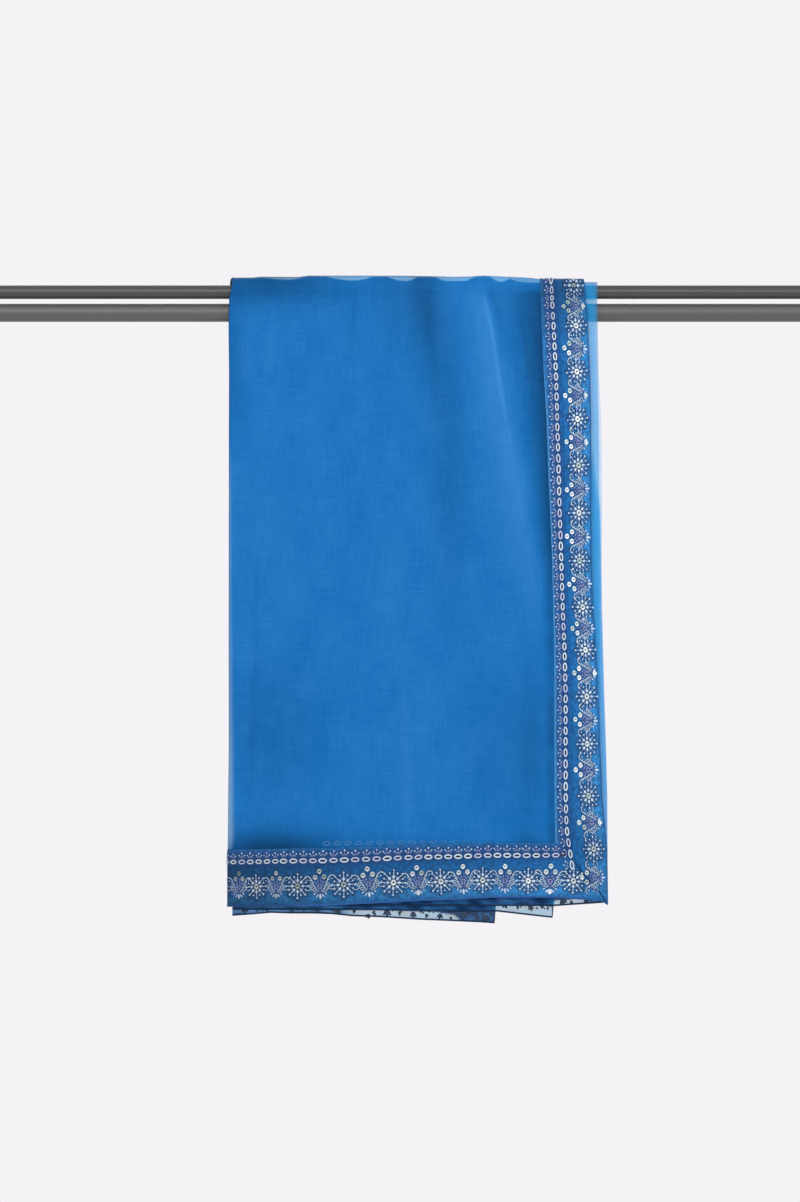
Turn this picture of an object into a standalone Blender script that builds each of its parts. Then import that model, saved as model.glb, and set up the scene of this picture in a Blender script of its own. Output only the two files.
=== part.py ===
"""A folded organza dupatta with lace borders, hung over two steel rods.

Metres, +X to the right as seen from the front, +Y to the back, +Z up.
The origin is midway between the two rods, halfway along them.

The cloth is described by three numbers: a place across (x), a run along the cloth from its crest
over the upper rod (minus at the front, plus at the back), and a depth above the rods' surface.
"""
import collections
import math

import bmesh
import bpy
import numpy as np

MM = 0.001

# Rods
UPPER_RADIUS = 6.3 * MM
LOWER_RADIUS = 8.2 * MM
UPPER_HEIGHT = 10.2 * MM
LOWER_HEIGHT = -8.4 * MM
ROD_LENGTH = 760 * MM
ROD_CHAMFER = 0.6 * MM
ROD_SIDES = 40

# Depths above the rods, from the inside out
LAYER = 1.0 * MM  # one of the three hidden layers at the hems
STACK_BOTTOM = 0.5 * MM
STACK_TOP = STACK_BOTTOM + 3 * LAYER
STACK_MIDDLE = STACK_BOTTOM + 1.5 * LAYER
SEAM = 0.3 * MM
PANEL_WALL = 1.1 * MM
PANEL_BOTTOM = STACK_TOP + SEAM
PANEL_TOP = PANEL_BOTTOM + PANEL_WALL
LACE_WALL = 1.0 * MM
LACE_BOTTOM = PANEL_TOP + SEAM
LACE_TOP = LACE_BOTTOM + LACE_WALL
HEM_BOTTOM = PANEL_BOTTOM + 0.1 * MM
HEM_TOP = PANEL_TOP + 0.5 * MM
HEM_WIDTH = 1.3 * MM
LACE_CROWN = 0.4 * MM  # how far the stitched flowers stand proud along their line
CHAIN_CROWN = 0.6 * MM  # how far the thread rings do
CHAIN_SHARE = 0.72  # where the rings run across the narrow lace, from its inner edge

# The long fold on the left, and the length fold at the bottom of the back
LEFT_FOLD = -150.8 * MM
BACK_LENGTH = 551 * MM
FOLD_TURN = math.radians(75)
FOLD_STEPS = 3

# The plain fold at the right: the hidden layers thin out before the free edge
THICK_MARGIN = 8.0 * MM
THINNING = 3.0 * MM
THIN_STRIP = 0.4  # its thickness, as a share of the hidden layers'
STRIP_ROUNDING = 0.3 * MM

# Angles of the points round the hidden layers' left edge and round their fold at the back
STACK_ROUNDING = (88, 60, 30)
FOOT_ROUNDING = (30, 60, 90, 120, 150)

# Lines down the right-hand side: run from the crest, inner edge of the ring lace, seam between
# the two laces, line of flowers, free edge, and the plain fold that shows beyond it (mm)
FRONT_LINES = (
    # run, lace_edge, seam, flowers, free_edge, plain_fold
    (0, 125.6, 140.0, 155.6, 164.7, 177.5),
    (40, 126.9, 142.5, 157.2, 168.3, 177.5),
    (81, 128.7, 144.7, 158.2, 170.1, 178.6),
    (123, 131.4, 146.1, 158.4, 171.0, 180.6),
    (166, 132.8, 147.3, 159.8, 171.0, 181.4),
    (209, 134.6, 148.1, 160.8, 171.0, 181.5),
    (252, 136.4, 149.4, 161.1, 171.5, 181.7),
    (293, 137.3, 150.8, 163.9, 172.8, 182.2),
    (331, 138.2, 152.5, 166.3, 175.5, 183.0),
    (373, 138.4, 153.5, 167.4, 177.3, 183.8),
    (417, 138.4, 153.5, 167.9, 179.1, 185.0),
    (464, 138.6, 153.7, 169.6, 180.9, 186.2),
    (511, 139.5, 154.6, 174.0, 185.6, 186.4),
    (562, 140.4, 155.0, 174.5, 186.3, 186.0),
)
BACK_LINES = (
    # run, lace_edge, seam, flowers, free_edge, plain_fold
    (0, 125.6, 140.0, 155.6, 164.7, 177.5),
    (120, 129.5, 144.0, 158.5, 169.0, 175.5),
    (300, 130.5, 145.0, 160.5, 171.5, 176.0),
    (551, 132.0, 147.0, 162.5, 173.5, 177.0),
)

# Front hem: height at each place across (mm)
HEM_LINE = (
    # across, height
    (-154, -542.2),
    (-68, -541.3),
    (-32, -539.5),
    (18, -536.8),
    (50, -535.9),
    (81, -534.1),
    (140, -534.1),
    (180, -537.0),
    (186, -540.4),
)
# Hems of the hidden layers, shortest and outermost first (mm)
SHORT_HEM = (
    (-154, -541.0),
    (139, -541.2),
    (176, -538.7),
    (187, -538.0),
)
MIDDLE_HEM = (
    (-154, -544.5),
    (-23, -545.0),
    (50, -546.8),
    (87, -546.8),
    (138, -552.6),
)
LONG_HEM = (
    (-154, -549.9),
    (-104, -547.7),
    (0, -551.3),
    (36, -554.0),
    (77, -554.9),
    (86, -556.7),
)
MIDDLE_HEM_END = 138.6 * MM
LONG_HEM_END = 86.0 * MM
HEM_STEP = 0.1 * MM  # how far a layer that has ended stays below the one outside it
HEM_JUMP = 0.3 * MM  # half the width over which a layer's side edge drops

# The border along the end: height above the hem of its lines, as shares from the top
BORDER_HEIGHT = 50.0 * MM
BORDER_SEAM_SHARE = 0.31
BORDER_FLOWER_SHARE = 0.70

# Long soft folds of the outer panel: height above its resting depth
FRONT_FOLDS = (
    # across at the top, lean (across for each metre down), half width, height, from, to (mm)
    (-120, -20, 22, 1.4, 40, 420),
    (-60, 60, 26, 1.2, 30, 330),
    (70, 175, 17, 2.4, 8, 430),
    (118, 30, 9, -1.0, 0, 480),
    (16, 10, 14, -1.0, 5, 260),
    (-95, 0, 30, -0.9, 370, 520),
    (8, 30, 26, 1.3, 320, 520),
    (160, 20, 14, 1.0, 180, 430),
)
BACK_FOLDS = (
    # across at the top, lean, half width, height, from, to (mm)
    (-105, 40, 24, 1.5, 30, 520),
    (-30, -30, 18, -0.9, 20, 400),
    (30, 60, 24, 1.8, 60, 560),
    (100, -20, 15, -0.9, 10, 470),
)
FOLD_REST = 1.1 * MM  # the panel's usual clearance over the hidden layers where it hangs
FOLD_FADE_IN = 45 * MM
FOLD_FADE_OUT = 90 * MM
FOLDS_START = 14 * MM  # run from the crest where folds can start, and where they are full
FOLDS_FULL = 46 * MM

# At the crest the outer panel stands off the hidden layers, which rise under it in humps
CREST_RISE = 4.1 * MM
CREST_REACH = 11 * MM
CREST_ENVELOPE = (
    # across, share of the full rise (mm, 1)
    (-156, 0.25),
    (-140, 0.85),
    (-120, 1.0),
    (108, 1.0),
    (124, 0.3),
    (190, 0.1),
)
CREST_HUMPS = (
    # across, half width, rise (mm)
    (-136, 12, 2.2),
    (-76, 13, 3.2),
    (-17, 11, 2.6),
    (22, 8, 2.9),
    (79, 9, 3.0),
    (104, 8, 1.8),
)

# How finely each solid is divided
PANEL_COLUMNS = 26
PANEL_HANG_STEPS = 11
PANEL_ARC_STEPS = 8
STACK_COLUMNS = 24
STACK_HANG_STEPS = 4
STACK_ARC_STEPS = 6
STRAIGHT_STEPS = 3
CORNER_STEPS = 3

COLOURS = {
    "organza": (0.018, 0.180, 0.520),
    "organza_fold": (0.012, 0.130, 0.420),
    "flower_lace": (0.045, 0.160, 0.400),
    "ring_lace": (0.075, 0.180, 0.420),
    "hem": (0.010, 0.060, 0.240),
    "steel": (0.120, 0.115, 0.110),
}

# Lengths of the path over the rods: upper arc, straight stretch, lower arc
ROD_DROP = UPPER_HEIGHT - LOWER_HEIGHT
LEAN_ANGLE = math.acos((LOWER_RADIUS - UPPER_RADIUS) / ROD_DROP)
UPPER_ARC = UPPER_RADIUS * LEAN_ANGLE
STRAIGHT = math.sqrt(ROD_DROP**2 - (LOWER_RADIUS - UPPER_RADIUS) ** 2)
LOWER_ARC = LOWER_RADIUS * (math.pi / 2 - LEAN_ANGLE)
OVER_RODS = UPPER_ARC + STRAIGHT + LOWER_ARC

# One column of the hidden layers: share of the way across their thick part, a shift from there,
# a thickness, and the distance in from the plain fold where that sets its place instead
Column = collections.namedtuple("Column", "share shift thickness from_fold")


def clear_scene():
    """Remove every object that the file opened with."""
    for thing in list(bpy.data.objects):
        bpy.data.objects.remove(thing, do_unlink=True)


def listed(table, index):
    """One column of a table in millimetres, as an array in metres."""
    return np.array([row[index] for row in table]) * MM


def line_across(index, run):
    """Where a line of FRONT_LINES or BACK_LINES lies across, at each run."""
    front = np.interp(-run, listed(FRONT_LINES, 0), listed(FRONT_LINES, index))
    back = np.interp(run, listed(BACK_LINES, 0), listed(BACK_LINES, index))
    return np.where(run < 0, front, back)


def smooth_step(value, low, high):
    """0 below low, 1 above high, and a smooth curve between."""
    share = np.clip((value - low) / (high - low), 0, 1)
    return share * share * (3 - 2 * share)


def run_to_height(height):
    """The front run that hangs down to a height."""
    return -(OVER_RODS + LOWER_HEIGHT - height)


def drape(run, depth):
    """Y and Z of a point of the cloth: the rods' outline, moved out by depth."""
    side = np.where(run < 0, -1.0, 1.0)
    fall = np.abs(run)
    upper_angle = np.clip(fall / UPPER_RADIUS, 0, LEAN_ANGLE)
    lower_angle = LEAN_ANGLE + np.clip(fall - UPPER_ARC - STRAIGHT, 0, LOWER_ARC) / LOWER_RADIUS
    on_upper = fall <= UPPER_ARC
    on_straight = (fall > UPPER_ARC) & (fall <= UPPER_ARC + STRAIGHT)
    angle = np.where(on_upper | on_straight, upper_angle, lower_angle)
    out = np.sin(angle)
    up = np.cos(angle)
    radius = np.where(on_upper | on_straight, UPPER_RADIUS, LOWER_RADIUS)
    centre = np.where(on_upper | on_straight, UPPER_HEIGHT, LOWER_HEIGHT)
    along = np.where(on_straight, fall - UPPER_ARC, 0)
    hanging = np.maximum(fall - OVER_RODS, 0)
    y = (radius + depth) * out + along * math.cos(LEAN_ANGLE)
    z = centre + (radius + depth) * up - along * math.sin(LEAN_ANGLE) - hanging
    return side * y, z


def fold_relief(across, run):
    """Soft folds: each one a bell across, fading in and out along the run."""
    relief = np.full(np.broadcast(across, run).shape, FOLD_REST)
    for table, down in ((FRONT_FOLDS, -run), (BACK_FOLDS, run)):
        for at, lean, half_width, height, start, end in table:
            middle = (at + lean * down) * MM
            bell = np.exp(-(((across - middle) / (half_width * MM)) ** 2))
            fade_in = smooth_step(down, start * MM, start * MM + FOLD_FADE_IN)
            fade_out = 1 - smooth_step(down, end * MM - FOLD_FADE_OUT, end * MM)
            relief = relief + height * MM * bell * fade_in * fade_out
    hangs = smooth_step(np.abs(run), FOLDS_START, FOLDS_FULL)
    return relief * hangs


def crest(run):
    """How strongly the crest's forms act at each run: 1 at the top, 0 where the cloth hangs."""
    return np.exp(-((run / CREST_REACH) ** 2))


def panel_relief(across, run):
    """How far the outer panel stands off its resting depth."""
    share = np.interp(across, listed(CREST_ENVELOPE, 0), [row[1] for row in CREST_ENVELOPE])
    return fold_relief(across, run) + CREST_RISE * share * crest(run)


def stack_relief(across, run):
    """How far the hidden layers rise in humps at the crest."""
    rise = 0 * across
    for at, half_width, height in CREST_HUMPS:
        rise = rise + height * MM * np.exp(-(((across - at * MM) / (half_width * MM)) ** 2))
    return rise * crest(run)


def turned(depth, angle):
    """A depth carried round a fold: its new depth, and its reach past the fold's line."""
    radius = depth - STACK_MIDDLE
    return STACK_MIDDLE + radius * np.cos(angle), radius * np.sin(angle)


def height_on(table, across):
    """Height of a hem line at a place across."""
    return np.interp(across, listed(table, 0), listed(table, 1))


def over_rod_runs(arc_steps):
    """Runs on one side of the crest, over the rods, from the crest down."""
    arc = np.linspace(0, UPPER_ARC, arc_steps + 1)
    straight = np.linspace(UPPER_ARC, UPPER_ARC + STRAIGHT, STRAIGHT_STEPS + 1)[1:]
    return np.concatenate([arc, straight, [OVER_RODS]])


def panel_runs(across_hem):
    """Runs of the outer panel's rows, a column for each place on the hem, hem first."""
    hem = run_to_height(height_on(HEM_LINE, across_hem) + HEM_WIDTH + SEAM)
    shares = np.array([0, 1 - BORDER_FLOWER_SHARE, 1 - BORDER_SEAM_SHARE, 1])[:, None]
    border = hem + shares * BORDER_HEIGHT
    steps = np.linspace(0, 1, PANEL_HANG_STEPS + 1)[1:-1, None]
    hang = border[-1] + steps * (-OVER_RODS - border[-1])
    top = over_rod_runs(PANEL_ARC_STEPS)
    top = np.concatenate([-top[::-1], top[1:]])[:, None] + 0 * across_hem
    back = np.linspace(OVER_RODS, BACK_LENGTH, PANEL_HANG_STEPS)[1:, None] + 0 * across_hem
    return np.concatenate([border, hang, top, back])


def material(name, colour, roughness, metallic):
    """A plain Principled finish."""
    finish = bpy.data.materials.new(name)
    finish.use_nodes = True
    shader = finish.node_tree.nodes["Principled BSDF"]
    shader.inputs["Base Color"].default_value = (*colour, 1)
    shader.inputs["Roughness"].default_value = roughness
    shader.inputs["Metallic"].default_value = metallic
    return finish


def add_object(name, points, faces, finish):
    """An object from points and faces, smooth but for its sharp edges."""
    mesh = bpy.data.meshes.new(name)
    mesh.from_pydata([tuple(p) for p in points], [], faces)
    shape = bmesh.new()
    shape.from_mesh(mesh)
    bmesh.ops.recalc_face_normals(shape, faces=shape.faces)
    shape.to_mesh(mesh)
    shape.free()
    mesh.shade_smooth()
    mesh.set_sharp_from_angle(angle=math.radians(35))
    mesh.materials.append(finish)
    thing = bpy.data.objects.new(name, mesh)
    bpy.context.collection.objects.link(thing)
    return thing


def wall(name, inside, outside, finish):
    """A closed wall between two grids of points of the same shape."""
    rows, columns = inside.shape[:2]
    points = np.concatenate([inside.reshape(-1, 3), outside.reshape(-1, 3)])
    number = np.arange(rows * columns).reshape(rows, columns)
    shift = rows * columns
    a, b, c, d = number[:-1, :-1], number[:-1, 1:], number[1:, 1:], number[1:, :-1]
    under = np.stack([a, b, c, d], -1).reshape(-1, 4)
    over = np.stack([d, c, b, a], -1).reshape(-1, 4) + shift
    rim = np.concatenate([number[0, :-1], number[:-1, -1], number[-1, :0:-1], number[:0:-1, 0]])
    onward = np.roll(rim, -1)
    sides = np.stack([onward, rim, rim + shift, onward + shift], -1)
    faces = np.concatenate([under, over, sides]).tolist()
    return add_object(name, points, faces, finish)


def rod(name, radius, height, finish):
    """A solid round bar along X, its ends chamfered."""
    half = ROD_LENGTH / 2
    profile = [
        (-half, radius - ROD_CHAMFER),
        (-half + ROD_CHAMFER, radius),
        (half - ROD_CHAMFER, radius),
        (half, radius - ROD_CHAMFER),
    ]
    points = []
    for along, reach in profile:
        for step in range(ROD_SIDES):
            turn = 2 * math.pi * step / ROD_SIDES
            points.append((along, reach * math.cos(turn), height + reach * math.sin(turn)))
    faces = [list(range(ROD_SIDES))]
    for ring in range(len(profile) - 1):
        for step in range(ROD_SIDES):
            low = ring * ROD_SIDES
            onward = (step + 1) % ROD_SIDES
            high = low + ROD_SIDES
            faces.append([low + step, low + onward, high + onward, high + step])
    last = (len(profile) - 1) * ROD_SIDES
    faces.append([last + step for step in range(ROD_SIDES)])
    return add_object(name, points, faces, finish)


def panel_grid():
    """The outer panel's grid of places across, runs, and turns round its two folds.

    Its first rows are the hem, the flowers, the seam of the laces and the lace's upper edge. Its
    last columns are the lace's inner edge, the seam, the flowers and the edge by the rolled hem.
    """
    shares = np.linspace(0, 1, PANEL_COLUMNS + 1)
    foot_run = np.array(run_to_height(HEM_LINE[-1][1] * MM))
    foot_lines = [float(line_across(index, foot_run)) for index in (1, 2, 3, 4)]
    foot_lines[-1] -= HEM_WIDTH + SEAM
    foot = LEFT_FOLD + shares * (foot_lines[0] - LEFT_FOLD)
    runs = panel_runs(np.concatenate([foot, foot_lines[1:]]))
    across = LEFT_FOLD + shares * (line_across(1, runs[:, : len(foot)]) - LEFT_FOLD)
    lines = [line_across(index, runs[:, index - 5]) for index in (2, 3, 4)]
    lines[-1] = lines[-1] - HEM_WIDTH - SEAM
    across = np.concatenate([across, np.stack(lines, -1)], 1)

    across = np.concatenate([across[:, :1]] * FOLD_STEPS + [across], 1)
    across = np.concatenate([across] + [across[-1:]] * FOLD_STEPS)
    runs = np.concatenate([runs[:, :1]] * FOLD_STEPS + [runs], 1)
    runs = np.concatenate([runs] + [runs[-1:]] * FOLD_STEPS)
    left = np.zeros(across.shape)
    left[:, :FOLD_STEPS] = np.linspace(FOLD_TURN, 0, FOLD_STEPS + 1)[:-1]
    foot_turn = np.zeros(across.shape)
    foot_turn[-FOLD_STEPS:] = np.linspace(0, FOLD_TURN, FOLD_STEPS + 1)[1:, None]
    return np.stack([across, runs, left, foot_turn], -1)


def on_panel(grid, depth):
    """Points over a block of the panel's grid, at a depth before its folds."""
    across, runs, left, foot_turn = np.moveaxis(grid, -1, 0)
    standing = depth + panel_relief(across, runs)
    sideways, reach_left = turned(standing, left)
    inward, reach_down = turned(sideways, foot_turn)
    y, z = drape(runs, inward)
    return np.stack([across - reach_left, y, z - reach_down], -1)


def panel_outer(grid, finish):
    """The fold that shows, turned in along its left side and along the foot of the back."""
    return wall("panel_outer", on_panel(grid, PANEL_BOTTOM), on_panel(grid, PANEL_TOP), finish)


def lace(name, block, crowned, finish):
    """A strip of lace on a block of the panel's grid, its outer face raised where crowned."""
    inside = on_panel(block, LACE_BOTTOM)
    outside = on_panel(block, LACE_TOP)
    outward = outside - inside
    outward /= np.linalg.norm(outward, axis=-1, keepdims=True)
    outside = outside + outward * crowned[..., None]
    return wall(name, inside, outside, finish)


def with_line_between(block, share, axis):
    """A block two lines wide, with a third line at a share of the way between them."""
    first, last = np.split(block, 2, axis)
    return np.concatenate([first, first + share * (last - first), last], axis)


def side_lace(name, grid, columns, mitre_rows, first_row, crown_share, crown, finish):
    """Lace along the long edge, from the mitre up over the rods and down the back."""
    block = grid[first_row:, columns].copy()
    mitre = np.stack([grid[row, column] for row, column in zip(mitre_rows, columns)])
    mitre[:, 1] += 0.7 * SEAM
    block = np.concatenate([mitre[None], block])
    block[:, 0, 0] += SEAM / 2
    if len(columns) == 2:
        block = with_line_between(block, crown_share, 1)
        block[:, -1, 0] -= SEAM / 2
    crowned = np.zeros(block.shape[:2])
    crowned[:, 1] = crown
    return lace(name, block, crowned, finish)


def along_row(grid, row, first, last):
    """Places evenly spaced along a row of the grid, from one column to another."""
    spots = np.linspace(first, last, CORNER_STEPS + 1)
    low = np.minimum(spots.astype(int), grid.shape[1] - 2)
    share = (spots - low)[:, None]
    return grid[row, low] * (1 - share) + grid[row, low + 1] * share


def end_lace(name, grid, rows, mitre_columns, last_column, crown_share, crown, finish):
    """Lace along the end, from the left fold to the mitre."""
    corner = [
        along_row(grid, row, last_column, column)[1:] for row, column in zip(rows, mitre_columns)
    ]
    corner = np.stack(corner)
    corner[:, -1, 0] -= 0.7 * SEAM
    block = np.concatenate([grid[rows, : last_column + 1], corner], 1)
    block[-1, :, 1] -= SEAM / 2
    if len(rows) == 2:
        block = with_line_between(block, crown_share, 0)
        block[0, :, 1] += SEAM / 2
    crowned = np.zeros(block.shape[:2])
    crowned[1] = crown
    return lace(name, block, crowned, finish)


def laces(grid, flower_finish, ring_finish):
    """The wide flower laces and the narrow ring laces, mitred at the corner."""
    edge = grid.shape[1] - 1
    flowers, seam, inner = edge - 1, edge - 2, edge - 3
    side_lace("border_side", grid, [seam, flowers, edge], [2, 1, 0], 3, 0, LACE_CROWN, flower_finish)
    side_lace("trim_side", grid, [inner, seam], [3, 2], 4, CHAIN_SHARE, CHAIN_CROWN, ring_finish)
    end_lace("border_end", grid, [0, 1, 2], [edge, flowers, seam], inner, 0, LACE_CROWN, flower_finish)
    end_lace(
        "trim_end", grid, [2, 3], [seam, inner], inner - 1, 1 - CHAIN_SHARE, CHAIN_CROWN, ring_finish
    )


def hems(grid, finish):
    """The rolled hems beyond the panel's two free edges."""
    side = np.repeat(grid[:, -1:], 2, 1)
    side[:, 0, 0] += SEAM
    side[:, 1, 0] += SEAM + HEM_WIDTH
    side[0, :, 1] -= SEAM + HEM_WIDTH
    end = np.repeat(grid[:1], 2, 0)
    end[0, :, 1] -= SEAM + HEM_WIDTH
    end[1, :, 1] -= SEAM
    for name, block in (("hem_side", side), ("hem_end", end)):
        wall(name, on_panel(block, HEM_BOTTOM), on_panel(block, HEM_TOP), finish)


def stack_columns():
    """Columns of the hidden layers: a rounded left edge, a thick middle and a thin right fold."""
    columns = []
    for angle in np.radians(STACK_ROUNDING):
        columns.append(Column(0.0, -1.5 * LAYER * math.sin(angle), math.cos(angle), None))
    shares = list(np.linspace(0, 1, STACK_COLUMNS + 1))
    width = thick_width(np.array(run_to_height(SHORT_HEM[0][1] * MM)))
    for hem_end in (LONG_HEM_END, MIDDLE_HEM_END):
        shares += [(hem_end + side * HEM_JUMP - LEFT_FOLD) / width for side in (-1, 1)]
    columns += [Column(float(share), 0.0, 1.0, None) for share in sorted(shares)]
    columns.append(Column(1.0, THINNING, THIN_STRIP, None))
    columns.append(Column(1.0, 0.0, THIN_STRIP, 3 * STRIP_ROUNDING))
    columns.append(Column(1.0, 0.0, THIN_STRIP * 0.75, STRIP_ROUNDING))
    columns.append(Column(1.0, 0.0, THIN_STRIP * 0.3, 0.0))
    return columns


def thick_width(run):
    """Width of the hidden layers' thick part at each run."""
    return line_across(4, run) - THICK_MARGIN - LEFT_FOLD


def column_across(column, run):
    """Place across of a column of the hidden layers at each run."""
    if column.from_fold is not None:
        return line_across(5, run) - column.from_fold
    return LEFT_FOLD + column.share * thick_width(run) + column.shift


def stack_points(column, run, depth):
    """Points of one column of the hidden layers at a depth."""
    across = column_across(column, run)
    level = STACK_MIDDLE + (depth - STACK_MIDDLE) * column.thickness
    share_up = (depth - STACK_BOTTOM) / (STACK_TOP - STACK_BOTTOM) * column.thickness
    y, z = drape(run, level + stack_relief(across, run) * share_up)
    return np.stack([across, y, z], -1)


def hem_heights(across):
    """Heights of the three hidden hems at a place, each a little below the one outside it."""
    short = height_on(SHORT_HEM, across)
    middle = short - HEM_STEP
    if across < MIDDLE_HEM_END:
        middle = height_on(MIDDLE_HEM, across)
    long = middle - HEM_STEP
    if across < LONG_HEM_END:
        long = height_on(LONG_HEM, across)
    return short, middle, long


def stack_runs(foot_height):
    """Runs down one face of the hidden layers, from a front hem over to the back fold."""
    top = over_rod_runs(STACK_ARC_STEPS)
    hang = np.linspace(0, 1, STACK_HANG_STEPS + 1)[1:]
    front = -OVER_RODS + hang * (run_to_height(foot_height) + OVER_RODS)
    back = OVER_RODS + hang * (BACK_LENGTH - OVER_RODS)
    return np.concatenate([front[::-1], -top[::-1], top[1:], back])


def stack_section(column):
    """The closed section of the hidden layers at one column, stepped at the hems."""
    foot_run = np.array(run_to_height(SHORT_HEM[0][1] * MM))
    short, middle, long = hem_heights(float(column_across(column, foot_run)))
    outer = stack_points(column, stack_runs(short), STACK_TOP)
    inner = stack_points(column, stack_runs(long), STACK_BOTTOM)
    steps = [
        stack_points(column, np.array([run_to_height(height)]), STACK_TOP - layers * LAYER)
        for layers, height in ((1, short), (1, middle), (2, middle), (2, long))
    ]
    angles = np.radians(FOOT_ROUNDING)
    depth, reach = turned(STACK_MIDDLE + 1.5 * LAYER * column.thickness, angles)
    runs = np.full(angles.shape, BACK_LENGTH)
    y, z = drape(runs, depth)
    rounding = np.stack([column_across(column, runs), y, z - reach], -1)
    return np.concatenate([outer[::-1], *steps, inner, rounding[::-1]])


def panel_folds(finish):
    """The hidden layers as one solid: closed sections joined from side to side."""
    sections = np.array([stack_section(entry) for entry in stack_columns()])
    count, around = sections.shape[:2]
    number = np.arange(count * around).reshape(count, around)
    onward = np.roll(number, -1, axis=1)
    faces = np.stack([number[:-1], onward[:-1], onward[1:], number[1:]], -1)
    faces = faces.reshape(-1, 4).tolist()
    faces += [number[0][::-1].tolist(), number[-1].tolist()]
    return add_object("panel_folds", sections.reshape(-1, 3), faces, finish)


def main():
    """Builds every piece."""
    clear_scene()
    steel = material("steel", COLOURS["steel"], 0.35, 1.0)
    rod("rod_upper", UPPER_RADIUS, UPPER_HEIGHT, steel)
    rod("rod_lower", LOWER_RADIUS, LOWER_HEIGHT, steel)
    panel_folds(material("organza_fold", COLOURS["organza_fold"], 0.6, 0.0))
    grid = panel_grid()
    panel_outer(grid, material("organza", COLOURS["organza"], 0.6, 0.0))
    flower_finish = material("flower_lace", COLOURS["flower_lace"], 0.55, 0.0)
    ring_finish = material("ring_lace", COLOURS["ring_lace"], 0.55, 0.0)
    laces(grid, flower_finish, ring_finish)
    hems(grid, material("hem", COLOURS["hem"], 0.6, 0.0))


main()
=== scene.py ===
import math

import bpy
import numpy as np
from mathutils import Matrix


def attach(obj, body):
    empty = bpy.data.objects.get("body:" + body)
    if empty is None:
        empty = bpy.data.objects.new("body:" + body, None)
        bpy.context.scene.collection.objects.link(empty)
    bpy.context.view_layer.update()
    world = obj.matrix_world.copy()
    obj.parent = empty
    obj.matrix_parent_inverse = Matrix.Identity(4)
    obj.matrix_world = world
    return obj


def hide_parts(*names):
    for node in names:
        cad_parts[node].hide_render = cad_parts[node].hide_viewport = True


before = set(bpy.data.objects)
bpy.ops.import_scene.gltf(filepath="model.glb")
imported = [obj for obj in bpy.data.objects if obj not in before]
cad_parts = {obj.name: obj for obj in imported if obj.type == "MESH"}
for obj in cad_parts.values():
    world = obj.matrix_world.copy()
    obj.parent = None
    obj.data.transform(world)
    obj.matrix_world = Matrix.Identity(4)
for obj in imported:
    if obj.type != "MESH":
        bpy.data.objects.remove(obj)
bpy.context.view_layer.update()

mm = 0.001
pi = math.pi


# the drape, the same as the solids': place across, run from the crest, depth above the rods

rods = {
    "upperRadius": 6.3 * mm,
    "lowerRadius": 8.2 * mm,
    "upperHeight": 10.2 * mm,
    "lowerHeight": -8.4 * mm,
    # run down the front to the middle of the gap between them, and half its width
    "gapRun": 19.6 * mm,
    "gapHalf": 1.6 * mm,
}

# depths above the rods' surface; the panel's folds pivot about the middle of the hidden layers
depths = {
    "pivot": 2.0 * mm,
    "outerFace": 3.3 * mm,
    "tuckedIn": 0.28 * mm,
    "ghost": 4.50 * mm,
    "panel": 4.4 * mm,
    "lace": 4.95 * mm,
    "stitch": 5.1 * mm,
    "hem": 4.65 * mm,
}

folds = {
    "left": -150.8 * mm,
    "corner": 186 * mm,
    "backLength": 551 * mm,
    "turnRadius": 3.4 * mm,
    "tuck": 26 * mm,
    "coreMargin": 8.0 * mm,
    "hemWidth": 1.6 * mm,
}

# lines down the right-hand side (mm), a row at each flower of the front
frontLines = (
    # run, laceEdge, seam, flowers, freeEdge, plainFold
    (0, 125.6, 140.0, 155.6, 164.7, 177.5),
    (7, 125.7, 140.4, 156.0, 165.4, 177.5),
    (41, 126.9, 142.5, 157.9, 168.3, 177.5),
    (82.2, 128.7, 144.7, 158.6, 170.1, 178.6),
    (124.8, 131.4, 146.1, 159.2, 171.0, 180.6),
    (166.3, 132.8, 147.3, 160.1, 171.0, 181.4),
    (209, 134.6, 148.1, 160.5, 171.0, 181.1),
    (252, 136.4, 149.4, 160.9, 171.5, 180.9),
    (293.5, 137.3, 150.8, 163.9, 172.8, 181.4),
    (331.8, 138.2, 152.5, 166.4, 175.5, 182.4),
    (373.6, 138.4, 153.5, 167.6, 177.3, 183.5),
    (416.2, 138.4, 153.5, 167.9, 179.1, 185.0),
    (462.8, 138.6, 153.7, 169.1, 180.9, 186.2),
    (510.5, 139.5, 154.6, 173.8, 185.6, 186.4),
    (562, 140.4, 155.0, 174.5, 186.3, 186.0),
)
backLines = (
    # run, laceEdge, seam, flowers, freeEdge, plainFold
    (0, 125.6, 140.0, 155.6, 164.7, 177.5),
    (120, 129.5, 144.0, 158.5, 169.0, 179.0),
    (300, 130.5, 145.0, 160.5, 171.5, 180.0),
    (551, 132.0, 147.0, 162.5, 173.5, 181.0),
)
lineNames = ("run", "laceEdge", "seam", "flowers", "freeEdge", "plainFold")

# the front hem, and the hems of the layers under it: height at each place across (mm)
hemLines = {
    "front": (
        (-154, -542.2), (-68, -541.3), (-32, -539.5), (18, -536.8), (50, -535.9),
        (81, -534.1), (140, -534.1), (180, -537.0), (186, -540.4),
    ),
    "short": ((-154, -541.0), (139, -541.2), (176, -538.7), (187, -538.0)),
    "middle": ((-154, -544.5), (-23, -545.0), (50, -546.4), (87, -546.2), (138, -552.0)),
    "long": (
        (-154, -550.3), (-134, -548.9), (-116, -547.4), (-98, -548.0), (-80, -548.0),
        (-62, -548.5), (-44, -550.4), (-17, -551.3), (18, -553.6), (45, -554.7), (72, -555.9),
        (86, -556.9),
    ),
}

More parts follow.
